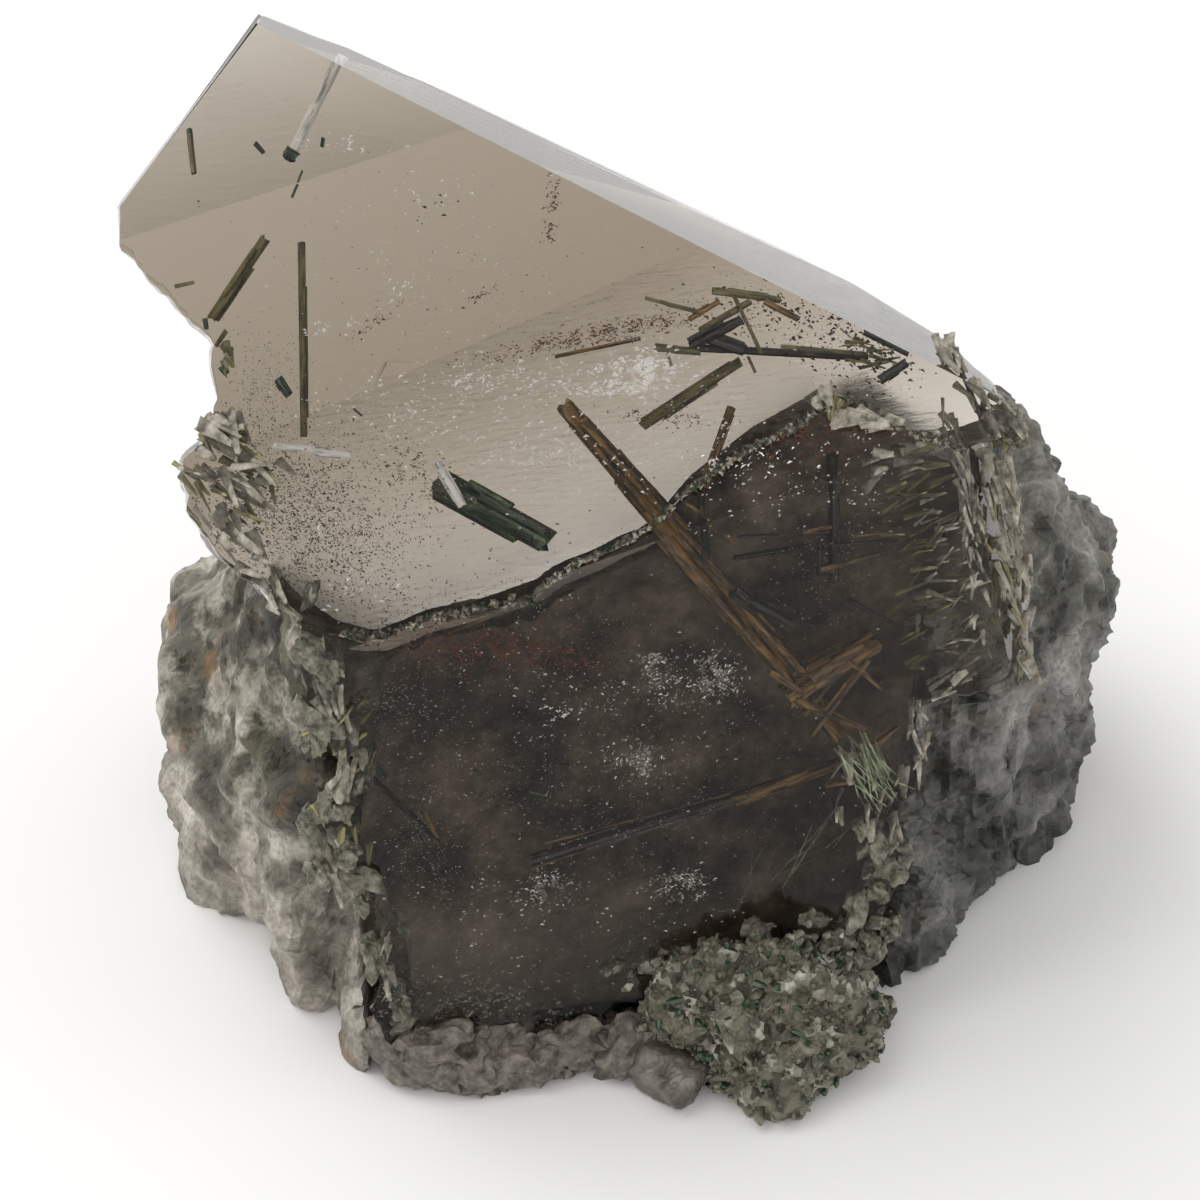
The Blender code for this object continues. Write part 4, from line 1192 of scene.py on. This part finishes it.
def veil(rows, seed, sealed=True, largest=2.4):
    """Placements of flakes in soft oval clouds under the crystal's faces."""
    draw = random.Random(seed)
    placements = []
    for under, (right, up), wide, high, tilt, (near, deep), count, size in rows:
        tilt = math.radians(tilt)
        for _ in range(count):
            a = max(-CLOUD_EDGE, min(CLOUD_EDGE, draw.gauss(0.0, 0.8))) * wide
            b = max(-CLOUD_EDGE, min(CLOUD_EDGE, draw.gauss(0.0, 0.8))) * high
            spot = (*beside(right, up, a, b, tilt), draw.uniform(near, deep))
            lean = Matrix.Rotation(tilt + draw.gauss(0.0, 0.5), 3, "Z")
            lean = lean @ Matrix.Rotation(draw.gauss(0.0, 0.6), 3, "X")
            if noise.noise(Vector(spot) / CLUMP_SIZE) < draw.uniform(-0.25, 0.15):
                continue
            if sealed and not in_glass(under, spot[0], spot[1], under(*spot)):
                continue
            large = size * min(largest, draw.lognormvariate(0.0, 0.65))
            stretch = Matrix.Diagonal((large * draw.uniform(0.7, 2.0), large, large))
            turn = FACE_TURN @ lean @ stretch
            place = in_frame(under(*spot))
            place.z = max(place.z, large * MM / 2)
            placements.append(Matrix.Translation(place) @ turn.to_4x4())
    return placements


print("clear quartz above every flake, mm:", SKIN)

# %% [markdown]
# ## Films of healed cracks
# The films are white and reflect the room totally, whichever way they lie. Inside the glass that sparkle
# is painted in: they give a faint white light of their own.

# %% White veils
WHITE_VEILS = [
    (under_big, (2.7, 15.2), 1.9, 1.0, 5, (0.5, 2.0), 900, 0.17),
    (under_big, (0.0, 14.3), 3.0, 0.8, 5, (0.5, 2.0), 500, 0.13),
    (under_big, (-6.7, 14.7), 3.6, 0.9, 5, (0.5, 2.5), 620, 0.12),
    (under_big, (-4.0, 10.0), 4.6, 1.0, 3, (0.5, 2.5), 480, 0.14),
    (under_big, (-11.3, 12.7), 5.6, 1.6, 2, (0.5, 3.0), 520, 0.12),
    (under_big, (-16.0, 13.3), 4.4, 1.6, -2, (0.5, 3.0), 300, 0.12),
    (under_big, (0.0, 8.7), 5.6, 1.6, 12, (0.5, 3.0), 360, 0.11),
    (under_big, (6.7, 11.3), 3.0, 2.0, 25, (0.5, 3.0), 260, 0.11),
    (under_big, (-18.0, 18.3), 1.5, 0.4, 5, (0.8, 1.8), 70, 0.15),
    (under_big, (-13.7, 20.7), 1.2, 0.4, 40, (0.8, 1.8), 60, 0.15),
    (under_big, (-16.3, 30.3), 2.0, 0.7, -8, (0.8, 1.8), 70, 0.16),
    (under_big, (-12.0, 27.3), 2.2, 1.2, -10, (1.0, 3.0), 70, 0.12),
    (under_big, (-17.0, 1.0), 1.6, 1.0, 20, (0.4, 1.6), 80, 0.14),
    (under_big, (-19.3, 5.3), 1.6, 1.0, 20, (0.4, 1.6), 60, 0.13),
    (under_big, (7.7, 8.7), 0.5, 0.6, 60, (0.5, 1.2), 40, 0.15),
    (under_prism, (3.7, -4.7), 0.8, 0.8, 20, (0.3, 1.0), 300, 0.09),
    (under_prism, (7.7, -5.0), 0.9, 1.1, 60, (0.3, 1.0), 420, 0.09),
    (under_prism, (5.3, -6.0), 1.6, 0.8, 10, (0.3, 1.4), 240, 0.08),
    (under_prism, (3.3, -11.0), 0.6, 0.6, 30, (0.3, 1.0), 160, 0.09),
    (under_prism, (1.7, -10.7), 0.6, 0.9, 60, (0.3, 1.0), 160, 0.09),
    (under_prism, (-1.3, -7.3), 1.2, 0.3, 10, (0.3, 1.0), 90, 0.09),
    (under_prism, (6.0, -19.0), 0.8, 0.7, 10, (0.3, 1.2), 200, 0.09),
    (under_prism, (4.3, -19.3), 0.5, 0.8, 80, (0.3, 1.2), 140, 0.09),
    (under_prism, (-3.7, -19.0), 1.0, 0.7, 10, (0.3, 1.2), 180, 0.09),
    (under_prism, (-2.7, -7.7), 0.9, 0.4, 10, (0.3, 1.2), 40, 0.14),
    (under_prism, (-0.7, -5.7), 4.0, 0.8, 0, (0.3, 2.0), 160, 0.10),
    (under_prism, (9.3, 8.7), 2.2, 0.9, 10, (0.5, 1.5), 110, 0.13),
    (under_prism, (10.7, 6.7), 4.0, 1.6, 15, (0.5, 2.0), 160, 0.10),
    (under_prism, (-2.7, -1.3), 6.0, 1.6, 10, (0.3, 2.0), 220, 0.08),
    (under_prism, (0.0, -10.7), 9.0, 5.0, 10, (0.3, 3.0), 900, 0.08),
    (under_prism, (1.3, -22.0), 7.0, 3.0, 5, (0.3, 3.0), 420, 0.09),
    (under_prism, (-8.0, -20.0), 4.0, 2.0, -10, (0.3, 2.0), 160, 0.09),
    (under_prism, (16.7, 8.0), 2.6, 2.6, 20, (0.3, 2.0), 240, 0.11),
    (under_prism, (0.0, -13.3), 9.0, 8.0, 10, (0.3, 3.5), 2600, 0.045),
    (under_prism, (-10.7, -13.3), 3.0, 8.0, 0, (0.3, 3.5), 900, 0.06),
    (under_big, (-10.0, 20.0), 9.0, 5.0, -10, (0.3, 3.5), 1200, 0.045),
    (under_big, (-11.3, 23.3), 9.0, 5.0, -25, (0.3, 2.5), 900, 0.07),
    (under_big, (-2.7, 10.7), 10.0, 3.0, 8, (0.3, 2.5), 900, 0.08),
]


# Strength of the painted light that stands in for the films' sparkle.
FILM_PAINTED_SPARKLE = 0.22


def fleck_finish(name, millimetres, stops, roughness, painted_sparkle=0.0):
    """Flecks too small for a relief: shades of one colour, and for films painted light of their own that
    stands in for their sparkle.
    """
    made, tree, shader = finish_named(name)
    shades = noise_of(tree, add(tree, "TexCoord").outputs["Object"], millimetres, 3.0)
    tree.links.new(ramp(tree, shades, stops), shader.inputs["Base Color"])
    shader.inputs["Roughness"].default_value = roughness
    shader.inputs["Emission Color"].default_value = (1.0, 0.98, 0.95, 1.0)
    shader.inputs["Emission Strength"].default_value = painted_sparkle
    return made


# Fluid films: white and glossy, with a faint painted light of their own.
WHITES = [(0.3, "CFC9C2"), (0.5, "F2EFEB"), (0.7, "FFFFFF")]
films = fleck_finish("healed_crack_films_painted_light", 1.4, WHITES, 0.25, FILM_PAINTED_SPARKLE)
mesh = scattered(flake(1.0, 0.8, 0.16), veil(WHITE_VEILS, 5))
made_object(mesh, "healed_crack_veils", films)

# %% [markdown]
# ## Hematite dust
# Rust-red to brown dust lies in bands along buried needles and under the ledge. It is dull.

# %% Rusty dust
RED_DUST = [
    (under_big, (-5.3, 16.7), 2.4, 0.35, 12, (2.0, 3.4), 420, 0.10),
    (under_big, (-1.3, 17.5), 2.6, 0.50, 9, (2.0, 3.4), 900, 0.10),
    (under_big, (3.3, 18.5), 2.4, 0.50, 9, (2.0, 3.4), 900, 0.10),
    (under_big, (-3.2, 26.0), 0.35, 1.5, -6, (2.4, 3.6), 320, 0.10),
    (under_big, (-15.0, 18.8), 1.4, 0.35, 28, (2.4, 3.6), 160, 0.10),
    (under_big, (-7.3, 20.7), 1.2, 0.30, 25, (2.4, 3.6), 120, 0.10),
    (under_big, (4.0, 12.3), 2.6, 0.40, -4, (2.0, 3.4), 300, 0.10),
    (under_big, (-13.1, 9.2), 1.4, 0.9, -12, (1.4, 2.6), 600, 0.10),
    (under_big, (-11.2, 7.2), 0.9, 0.6, -30, (1.4, 2.6), 260, 0.09),
    (under_prism, (-7.3, -3.3), 4.6, 0.9, -1, (0.8, 3.4), 3200, 0.12),
    (under_prism, (-2.0, -4.3), 2.0, 0.6, -10, (2.2, 3.6), 500, 0.11),
    (under_prism, (13.3, 10.3), 2.6, 0.8, 25, (1.2, 3.0), 600, 0.11),
    (under_prism, (16.7, 9.7), 2.0, 1.2, 10, (1.2, 3.0), 400, 0.11),
]
hematite = fleck_finish("hematite_dust", 0.8, [(0.3, "5A3020"), (0.5, "8A5238"), (0.7, "B07A55")], 0.7)
mesh = scattered(flake(1.0, 0.7, 0.25), veil(RED_DUST, 6))
made_object(mesh, "hematite_stains", hematite)

# %% [markdown]
# ## Dark dust
# Specks of epidote darken the lower left of the big face and the crowded corner at its right.

# %% Dark specks
DARK_SPECKS = [
    (under_big, (-11.3, 26.0), 1.2, 1.4, 0, (0.8, 2.5), 34, 0.12),
    (under_big, (-8.0, 20.0), 9.0, 5.0, -20, (0.5, 3.5), 700, 0.05),
    (under_big, (-20.0, 5.3), 5.4, 3.6, -30, (1.0, 9.0), 15000, 0.07),
    (under_big, (-22.7, 13.3), 1.8, 3.0, 0, (1.0, 9.0), 3000, 0.045),
    (under_big, (-11.3, 0.0), 6.0, 0.8, 4, (1.0, 4.0), 500, 0.06),
    (under_big, (14.7, 18.7), 4.0, 2.0, -20, (0.5, 5.0), 900, 0.12),
    (under_big, (18.7, 16.7), 2.0, 1.6, -20, (0.5, 4.0), 700, 0.14),
    (under_big, (8.7, 19.3), 2.4, 1.4, -10, (0.5, 4.0), 300, 0.10),
    (under_big, (-2.7, 2.7), 8.0, 2.0, 8, (0.3, 1.5), 110, 0.08),
    (under_big, (2.7, 6.7), 4.0, 1.6, 30, (0.3, 1.5), 60, 0.08),
    (under_big, (-17.3, 20.0), 6.0, 6.0, 0, (0.5, 3.5), 70, 0.08),
    (under_big, (-9.3, 0.0), 6.0, 0.9, 0, (0.3, 1.2), 50, 0.08),
]
made_object(scattered(flake(1.0, 0.8, 0.5), veil(DARK_SPECKS, 7)), "dark_specks", dark_epidote)

# %% [markdown]
# ## Milky haze
# Dull beige-grey flecks, which never sparkle, cloud the lower face, most of all at its foot.

# %% Milky haze
MILKY_HAZE = [
    (under_prism, (-8.0, -28.3), 4.2, 2.2, -4, (0.4, 3.0), 4200, 0.13),
    (under_prism, (-2.7, -30.0), 3.4, 1.2, 4, (0.4, 3.0), 1600, 0.13),
    (under_prism, (-13.3, -6.7), 2.4, 2.0, 20, (0.8, 3.5), 900, 0.08),
    (under_prism, (-12.0, -17.3), 1.6, 3.6, 10, (0.8, 3.5), 900, 0.07),
    (under_prism, (2.7, -24.0), 3.0, 1.6, 10, (0.6, 3.0), 900, 0.08),
    (under_prism, (7.7, -5.0), 0.9, 1.0, 60, (0.3, 1.0), 500, 0.13),
    (under_prism, (3.7, -4.5), 0.8, 0.6, 20, (0.3, 1.0), 320, 0.13),
    (under_prism, (2.7, -10.8), 1.0, 0.8, 40, (0.3, 1.2), 420, 0.13),
    (under_prism, (5.3, -19.2), 1.2, 0.7, 10, (0.3, 1.2), 420, 0.13),
    (under_prism, (-3.7, -19.2), 1.1, 0.6, 10, (0.3, 1.2), 380, 0.13),
    (under_prism, (0.0, -12.0), 9.0, 8.0, 10, (0.3, 2.0), 3600, 0.06),
    (under_prism, (14.7, 2.7), 3.0, 4.0, 10, (0.3, 2.0), 900, 0.07),
]
milky_haze = fleck_finish("milky_haze", 2.0, [(0.3, "8C8378"), (0.5, "B5ACA1"), (0.7, "D6CFC6")], 0.8)
made_object(scattered(flake(1.0, 0.8, 0.4), veil(MILKY_HAZE, 8)), "milky_haze", milky_haze)

# %% [markdown]
# ## Crusts, teeth and etched blades
# Where the crystal broke or was eaten by hot water, its edge is a fringe of etched blades, and its foot
# is caked with small knobs of quartz and epidote. The blades are the same laths as before, flat and
# tapering, laid in bunches. The knobs and grains are single small shapes that are copied along the edges.

# %% Knobs, grains and blades
BLADE_SWAY = 16.0         # degrees that a blade leans away from its bunch
BLADE_DIP = 0.35          # mm that its two ends lie deeper and higher than its middle
BLADE_FLATNESS = 0.35
BLADE_TAPER = 0.35


def knob(seed):
    """A rounded lump one millimetre across."""
    bm = bmesh.new()
    bmesh.ops.create_icosphere(bm, subdivisions=3, radius=0.5)
    for vert in bm.verts:
        place = vert.co * 2.4 + Vector((seed, seed, 0.0))
        vert.co *= 1.0 + 0.55 * noise.fractal(place, 0.8, 2.2, 3, noise_basis="PERLIN_ORIGINAL")
    bmesh.ops.scale(bm, vec=(MM, MM, MM), verts=bm.verts)
    return bm


def grain():
    """A short six-sided crystal one millimetre long."""
    bm = bmesh.new()
    bmesh.ops.create_cone(bm, cap_ends=True, segments=6, radius1=0.3, radius2=0.26, depth=0.7)
    top = max(bm.faces, key=lambda face: face.calc_center_median().z)
    point = bmesh.ops.extrude_face_region(bm, geom=[top])["geom"]
    bmesh.ops.delete(bm, geom=[top], context="FACES_ONLY")
    tip = [item for item in point if isinstance(item, bmesh.types.BMVert)]
    bmesh.ops.translate(bm, vec=(0.0, 0.0, 0.25), verts=tip)
    bmesh.ops.scale(bm, vec=(0.3, 0.3, 1.0), verts=tip)
    bmesh.ops.scale(bm, vec=(MM, MM, MM), verts=bm.verts)
    return bm


def grown_on(piece, count, size, seed):
    """Placements of grains that stand out of a piece's surface."""
    draw = random.Random(seed)
    placements = []
    faces = piece.data.polygons
    while len(placements) < count:
        face = faces[draw.randrange(len(faces))]
        if face.normal.z < -0.3 or face.center.z < 0.6 * MM:
            continue
        direction = face.normal + Vector([draw.gauss(0.0, 0.35) for _ in range(3)])
        large = size * draw.lognormvariate(0.0, 0.4)
        turn = direction.to_track_quat("Z", "Y").to_matrix()
        turn = turn @ Matrix.Rotation(draw.uniform(0.0, 6.3), 3, "Z")
        slim = (large * draw.uniform(0.5, 1.1), large * draw.uniform(0.5, 1.1), large)
        turn = turn @ Matrix.Diagonal(slim)
        placements.append(Matrix.Translation(face.center) @ turn.to_4x4())
    return placements


def blades(rows, seed):
    """Bunches of flat tapering laths on the crystal's faces, all leaning much the same way."""
    draw = random.Random(seed)
    bm = bmesh.new()
    for under, (right, up), wide, high, tilt, (near, deep), count, length, width in rows:
        for _ in range(count):
            lean = math.radians(tilt + draw.gauss(0.0, BLADE_SWAY))
            reach = length * draw.uniform(0.5, 1.3) / 2
            a, b = draw.uniform(-1.0, 1.0) * wide, draw.uniform(-1.0, 1.0) * high
            turn = math.radians(tilt)
            x, y = beside(right, up, a, b, turn)
            below = draw.uniform(near, deep)
            start = under(x - reach * math.cos(lean), y - reach * math.sin(lean), below + BLADE_DIP)
            end = under(x + reach * math.cos(lean), y + reach * math.sin(lean), below - BLADE_DIP)
            lath(bm, start, end, width * draw.uniform(0.5, 1.5), BLADE_FLATNESS, draw.uniform(0.0, 60.0),
                 seed + draw.uniform(0.0, 99.0), BLADE_TAPER)
    return bm


def etched_finish(name, stops):
    """Etched quartz: frosted and streaky, with light coming through its thin parts."""
    made, tree, shader = finish_named(name)
    place = add(tree, "TexCoord").outputs["Object"]
    fine = noise_of(tree, place, 0.2, 3.0)
    tone = ramp(tree, noise_of(tree, place, 0.9, 5.0, 0.65), stops)
    shader.inputs["IOR"].default_value = QUARTZ_IOR
    shader.inputs["Transmission Weight"].default_value = 0.25
    dressed(tree, shader, tone, spread(tree, fine, 0.0, 1.0, 0.2, 0.5), fine, 0.6, 0.08)
    return made


etched_quartz = etched_finish("etched_quartz", [
    (0.30, "3F3B30"), (0.42, "7F7968"), (0.52, "A9A18F"), (0.64, "C9C3B4"), (0.78, "EFEBE2"),
])
knobbly_quartz = etched_finish("knobbly_grey_quartz", [
    (0.30, "2E2D22"), (0.42, "5B5947"), (0.52, "7E7B69"), (0.64, "9C9888"), (0.78, "C8C4B8"),
])
stained_quartz = etched_finish("stained_milky_quartz", [
    (0.30, "3A342D"), (0.44, "655D53"), (0.56, "857C71"), (0.70, "A69D92"),
])
pale_fibres = etched_finish("pale_green_fibres", [
    (0.30, "4E5A3C"), (0.45, "8A9470"), (0.60, "AEB490"), (0.75, "CDD0B4"),
])

# %% [markdown]
# ## Bunches of blades
# A row gives the face, the middle of the bunch, its half length and half width, its tilt in degrees, from
# which to which depth it lies (a negative depth stands out of the face), and the number, length and width
# of its blades.

# %% Etched blades and teeth
PALE_BLADES = [
    (under_big, (-23.5, 9.9), 3.0, 1.0, -38, (-0.4, 0.9), 16, 2.4, 0.93),
    (under_big, (-25.2, 7.5), 2.4, 1.3, -42, (-0.4, 0.9), 15, 2.4, 0.93),
    (under_big, (-24.3, 4.0), 2.4, 0.9, -48, (-0.3, 0.9), 11, 2.2, 0.93),
    (under_big, (-22.1, 0.7), 2.2, 0.7, -48, (-0.3, 0.9), 9, 1.8, 0.78),
    (under_prism, (20.0, 9.2), 2.2, 1.0, 20, (0.0, 0.8), 10, 1.6, 0.7),
    (under_prism, (23.0, 5.7), 1.6, 1.6, 20, (-0.1, 0.5), 14, 1.5, 0.5),
    (under_prism, (23.5, 2.0), 1.6, 1.6, 20, (-0.1, 0.5), 14, 1.5, 0.5),
    (under_prism, (23.7, -1.7), 1.6, 1.6, 18, (-0.1, 0.5), 14, 1.5, 0.5),
    (under_prism, (23.7, -5.0), 1.6, 1.4, 30, (-0.2, 0.8), 11, 1.8, 0.78),
    (under_prism, (24.1, 8.7), 4.0, 0.5, -76, (-0.3, 0.5), 24, 1.8, 0.45),
    (under_prism, (25.1, 2.0), 5.4, 0.6, -84, (-0.3, 0.5), 34, 1.6, 0.45),
    (under_prism, (27.2, 4.7), 4.8, 1.0, -80, (0.2, 2.0), 46, 1.8, 0.7),
    (under_prism, (28.4, -1.3), 4.2, 1.0, -84, (0.6, 3.0), 34, 1.8, 0.7),
    (under_big, (26.4, 12.3), 2.4, 1.0, -52, (0.2, 2.0), 14, 1.8, 0.7),
    (under_big, (24.3, 15.0), 2.4, 0.6, -62, (0.2, 2.0), 12, 1.8, 0.62),
    (under_prism, (21.2, -9.5), 2.6, 0.6, -88, (-0.2, 0.7), 12, 1.6, 0.7),
    (under_prism, (-17.0, -11.9), 0.4, 0.8, 75, (-0.5, 0.3), 9, 2.4, 1.24),
    (under_prism, (-18.5, -6.0), 2.6, 1.0, -70, (-0.3, 0.7), 14, 1.8, 0.93),
    (under_prism, (-17.7, -17.3), 2.4, 1.0, -60, (-0.3, 0.7), 12, 1.8, 0.93),
    (under_prism, (-14.5, -24.0), 2.4, 0.7, -75, (-0.3, 0.7), 10, 1.6, 0.78),
    (under_big, (18.1, 12.1), 1.7, 0.4, -14, (-0.4, 0.2), 8, 2.4, 1.24),
    (under_big, (14.7, 13.5), 0.4, 0.5, -60, (-0.4, 0.3), 6, 1.4, 0.93),
    (under_prism, (10.0, -30.0), 3.0, 1.2, -25, (-1.2, 0.4), 9, 1.8, 1.24),
    (under_prism, (17.7, -13.3), 2.0, 2.4, -100, (-0.2, 0.6), 16, 1.8, 0.93),
]
DARK_BLADES = [
    (under_big, (-23.7, 9.7), 3.2, 1.2, -38, (0.0, 1.0), 11, 2.0, 0.54),
    (under_big, (-25.2, 7.3), 2.6, 1.5, -42, (0.0, 1.0), 12, 2.0, 0.54),
    (under_big, (-25.0, 11.3), 1.4, 0.5, -10, (-0.1, 1.0), 8, 1.2, 0.7),
    (under_big, (-25.0, 16.0), 0.8, 0.5, -70, (-0.1, 0.8), 6, 1.0, 0.7),
    (under_prism, (20.3, 8.7), 2.4, 1.6, 20, (0.2, 0.9), 9, 1.6, 0.62),
    (under_prism, (21.7, 3.7), 2.2, 3.8, 18, (0.1, 0.9), 34, 1.6, 0.4),
    (under_prism, (22.3, -1.7), 2.2, 2.4, 16, (0.1, 0.9), 20, 1.6, 0.4),
    (under_prism, (26.5, 2.7), 5.0, 1.0, -82, (0.4, 2.4), 14, 1.6, 0.45),
    (under_big, (26.0, 12.7), 2.6, 1.2, -50, (0.4, 2.4), 12, 1.6, 0.45),
    (under_prism, (-17.0, -8.7), 2.4, 1.6, 40, (-0.2, 0.8), 15, 1.2, 0.78),
    (under_prism, (-17.3, -16.0), 2.4, 1.4, -70, (-0.2, 0.8), 11, 1.2, 0.78),
    (under_prism, (-15.5, -11.0), 0.8, 0.8, 60, (0.0, 1.0), 8, 1.2, 0.93),
    (under_big, (15.7, 13.0), 0.8, 0.6, 80, (-0.2, 0.5), 6, 1.0, 0.78),
    (under_big, (17.9, 16.5), 1.6, 1.0, -20, (1.0, 3.0), 14, 1.6, 0.28),
    (under_prism, (11.3, -26.7), 4.0, 2.4, 30, (-2.2, -0.4), 19, 1.2, 0.93),
]
FIBRES = [
    (under_prism, (17.9, -11.3), 1.3, 1.3, -58, (-0.2, 0.6), 60, 3.0, 0.16),
    (under_prism, (10.3, -18.7), 1.6, 0.6, 62, (0.4, 1.4), 8, 3.0, 0.10),
    (under_prism, (14.3, -16.7), 2.0, 0.8, 48, (0.2, 1.2), 12, 3.4, 0.12),
]
made_piece(blades(PALE_BLADES, 11), "etched_blades", etched_quartz)
made_piece(blades(DARK_BLADES, 12), "dark_teeth", olive_epidote)
made_piece(blades(FIBRES, 13), "pale_green_fibres", pale_fibres)

# %% [markdown]
# ## Knobs
# The torn edges of the stem and its foot are caked with knobs. Their rows are those of the veils, but the
# knobs need not be sealed in the quartz.

# %% Knobs along the edges of the stem
EDGE_KNOBS = [
    (under_prism, (-19.2, -3.7), 1.8, 0.9, -70, (-0.2, 1.2), 16, 1.2),
    (under_prism, (-17.7, -9.3), 2.4, 1.1, -70, (-0.2, 1.2), 22, 1.2),
    (under_prism, (-17.7, -14.7), 2.4, 1.1, -95, (-0.2, 1.2), 22, 1.2),
    (under_prism, (-16.1, -19.3), 2.2, 0.9, -55, (-0.2, 1.2), 20, 1.2),
    (under_prism, (-14.3, -24.0), 2.4, 0.6, -75, (-0.1, 1.0), 16, 1.0),
    (under_prism, (-13.3, -29.0), 2.0, 0.6, -80, (-0.1, 1.0), 14, 1.0),
    (under_prism, (19.0, -17.3), 2.4, 0.9, -75, (-0.2, 1.0), 24, 1.1),
    (under_prism, (17.7, -21.3), 2.0, 1.0, -120, (-0.2, 1.0), 22, 1.1),
    (under_big, (27.0, 11.3), 1.4, 1.0, -60, (0.8, 3.0), 16, 1.1),
]
FOOT_KNOBS = [
    (under_prism, (-10.7, -31.5), 2.6, 0.5, -18, (0.0, 2.2), 26, 2.0),
    (under_prism, (-4.7, -31.9), 4.2, 0.5, 0, (0.0, 2.2), 44, 2.0),
    (under_prism, (-9.7, -30.0), 2.6, 0.7, -8, (-0.2, 0.8), 22, 2.4),
    (under_prism, (-3.0, -30.3), 3.6, 0.6, 0, (-0.2, 0.8), 26, 2.4),
    (under_prism, (1.7, -32.3), 2.2, 0.8, -30, (0.0, 2.0), 14, 2.2),
    (under_prism, (10.7, -32.7), 4.0, 0.8, 8, (-0.8, 1.0), 20, 1.8),
]
CRUST_KNOBS = [
    (under_prism, (10.7, -26.7), 4.4, 2.2, 10, (-1.8, -0.4), 110, 1.1),
    (under_prism, (14.7, -28.7), 2.4, 2.4, 10, (-1.8, -0.2), 80, 1.1),
    (under_prism, (6.7, -25.7), 2.2, 1.2, 20, (-0.6, 0.6), 50, 0.9),
    (under_prism, (12.7, -24.0), 3.4, 1.2, 8, (-1.2, 0.6), 80, 1.0),
    (under_prism, (8.0, -31.7), 2.6, 1.4, 0, (-1.4, 0.6), 60, 1.1),
    (under_prism, (16.7, -22.7), 1.6, 1.6, 0, (-0.6, 0.6), 50, 1.0),
    (under_prism, (5.3, -24.0), 2.6, 0.8, 15, (-0.2, 0.8), 50, 0.7),
]
PALE_CRUST_KNOBS = [
    (under_prism, (11.3, -27.3), 4.4, 2.4, 10, (-1.9, -0.7), 46, 1.0),
    (under_prism, (13.3, -31.3), 3.0, 1.4, 5, (-1.6, -0.2), 30, 1.2),
    (under_prism, (6.7, -26.7), 2.4, 1.2, 20, (-0.8, 0.3), 24, 0.8),
]
KNOB_SEEDS = (1.0, 4.0, 7.0, 9.0)
LARGEST_KNOB = 1.5        # times the size that its row gives
KNOBS = [
    ("edge_knobs", EDGE_KNOBS, knobbly_quartz, "milky_quartz"),
    ("foot_knobs", FOOT_KNOBS, stained_quartz, "milky_quartz"),
    ("crust_knobs", CRUST_KNOBS, granular_epidote, "green_crust"),
    ("pale_crust_knobs", PALE_CRUST_KNOBS, etched_quartz, "milky_quartz"),
]
for number, (name, rows, look, slot) in enumerate(KNOBS):
    template = knob(KNOB_SEEDS[number])
    made_object(scattered(template, veil(rows, 21 + number, False, LARGEST_KNOB)), name, look)

# %% [markdown]
# ## Grains on the crust
# Tiny crystals grow out of the crust, most of them quartz and some of them green epidote.

# %% Grains grown on the crust
GRAINS = [
    ("crust_crystals", 500, 0.6, knobbly_quartz, "green_crust"),
    ("crust_epidote", 200, 0.6, green_epidote, "epidote"),
]
for number, (name, count, size, look, slot) in enumerate(GRAINS):
    made_object(scattered(grain(), grown_on(crust, count, size, 31 + number)), name, look)

# %% [markdown]
# ## Rim of the ledge
# The broken edge is crumbly: small flakes lie along it, every fourth of them green.

# %% Rim of the ledge
RIM_FLAKES = 520
RIM_SEED = 41
draw = random.Random(RIM_SEED)
pale, green = [], []
for number in range(RIM_FLAKES):
    right = draw.uniform(LEDGE[0][0], LEDGE[-1][0])
    up = ledge_height(right) + draw.gauss(0.1, 0.16)
    size = draw.uniform(0.3, 0.7)
    turn = FACE_TURN @ Matrix.Rotation(draw.uniform(0.0, 6.3), 3, "Z") @ Matrix.Diagonal((size, size, size))
    place = in_frame(under_big(right, up, draw.uniform(-0.05, 0.5)))
    (green if number % 4 == 0 else pale).append(Matrix.Translation(place) @ turn.to_4x4())
made_object(scattered(flake(1.0, 0.8, 0.3), pale), "ledge_rim", etched_quartz)
made_object(scattered(flake(1.0, 0.8, 0.4), green), "ledge_rim_epidote", green_epidote)
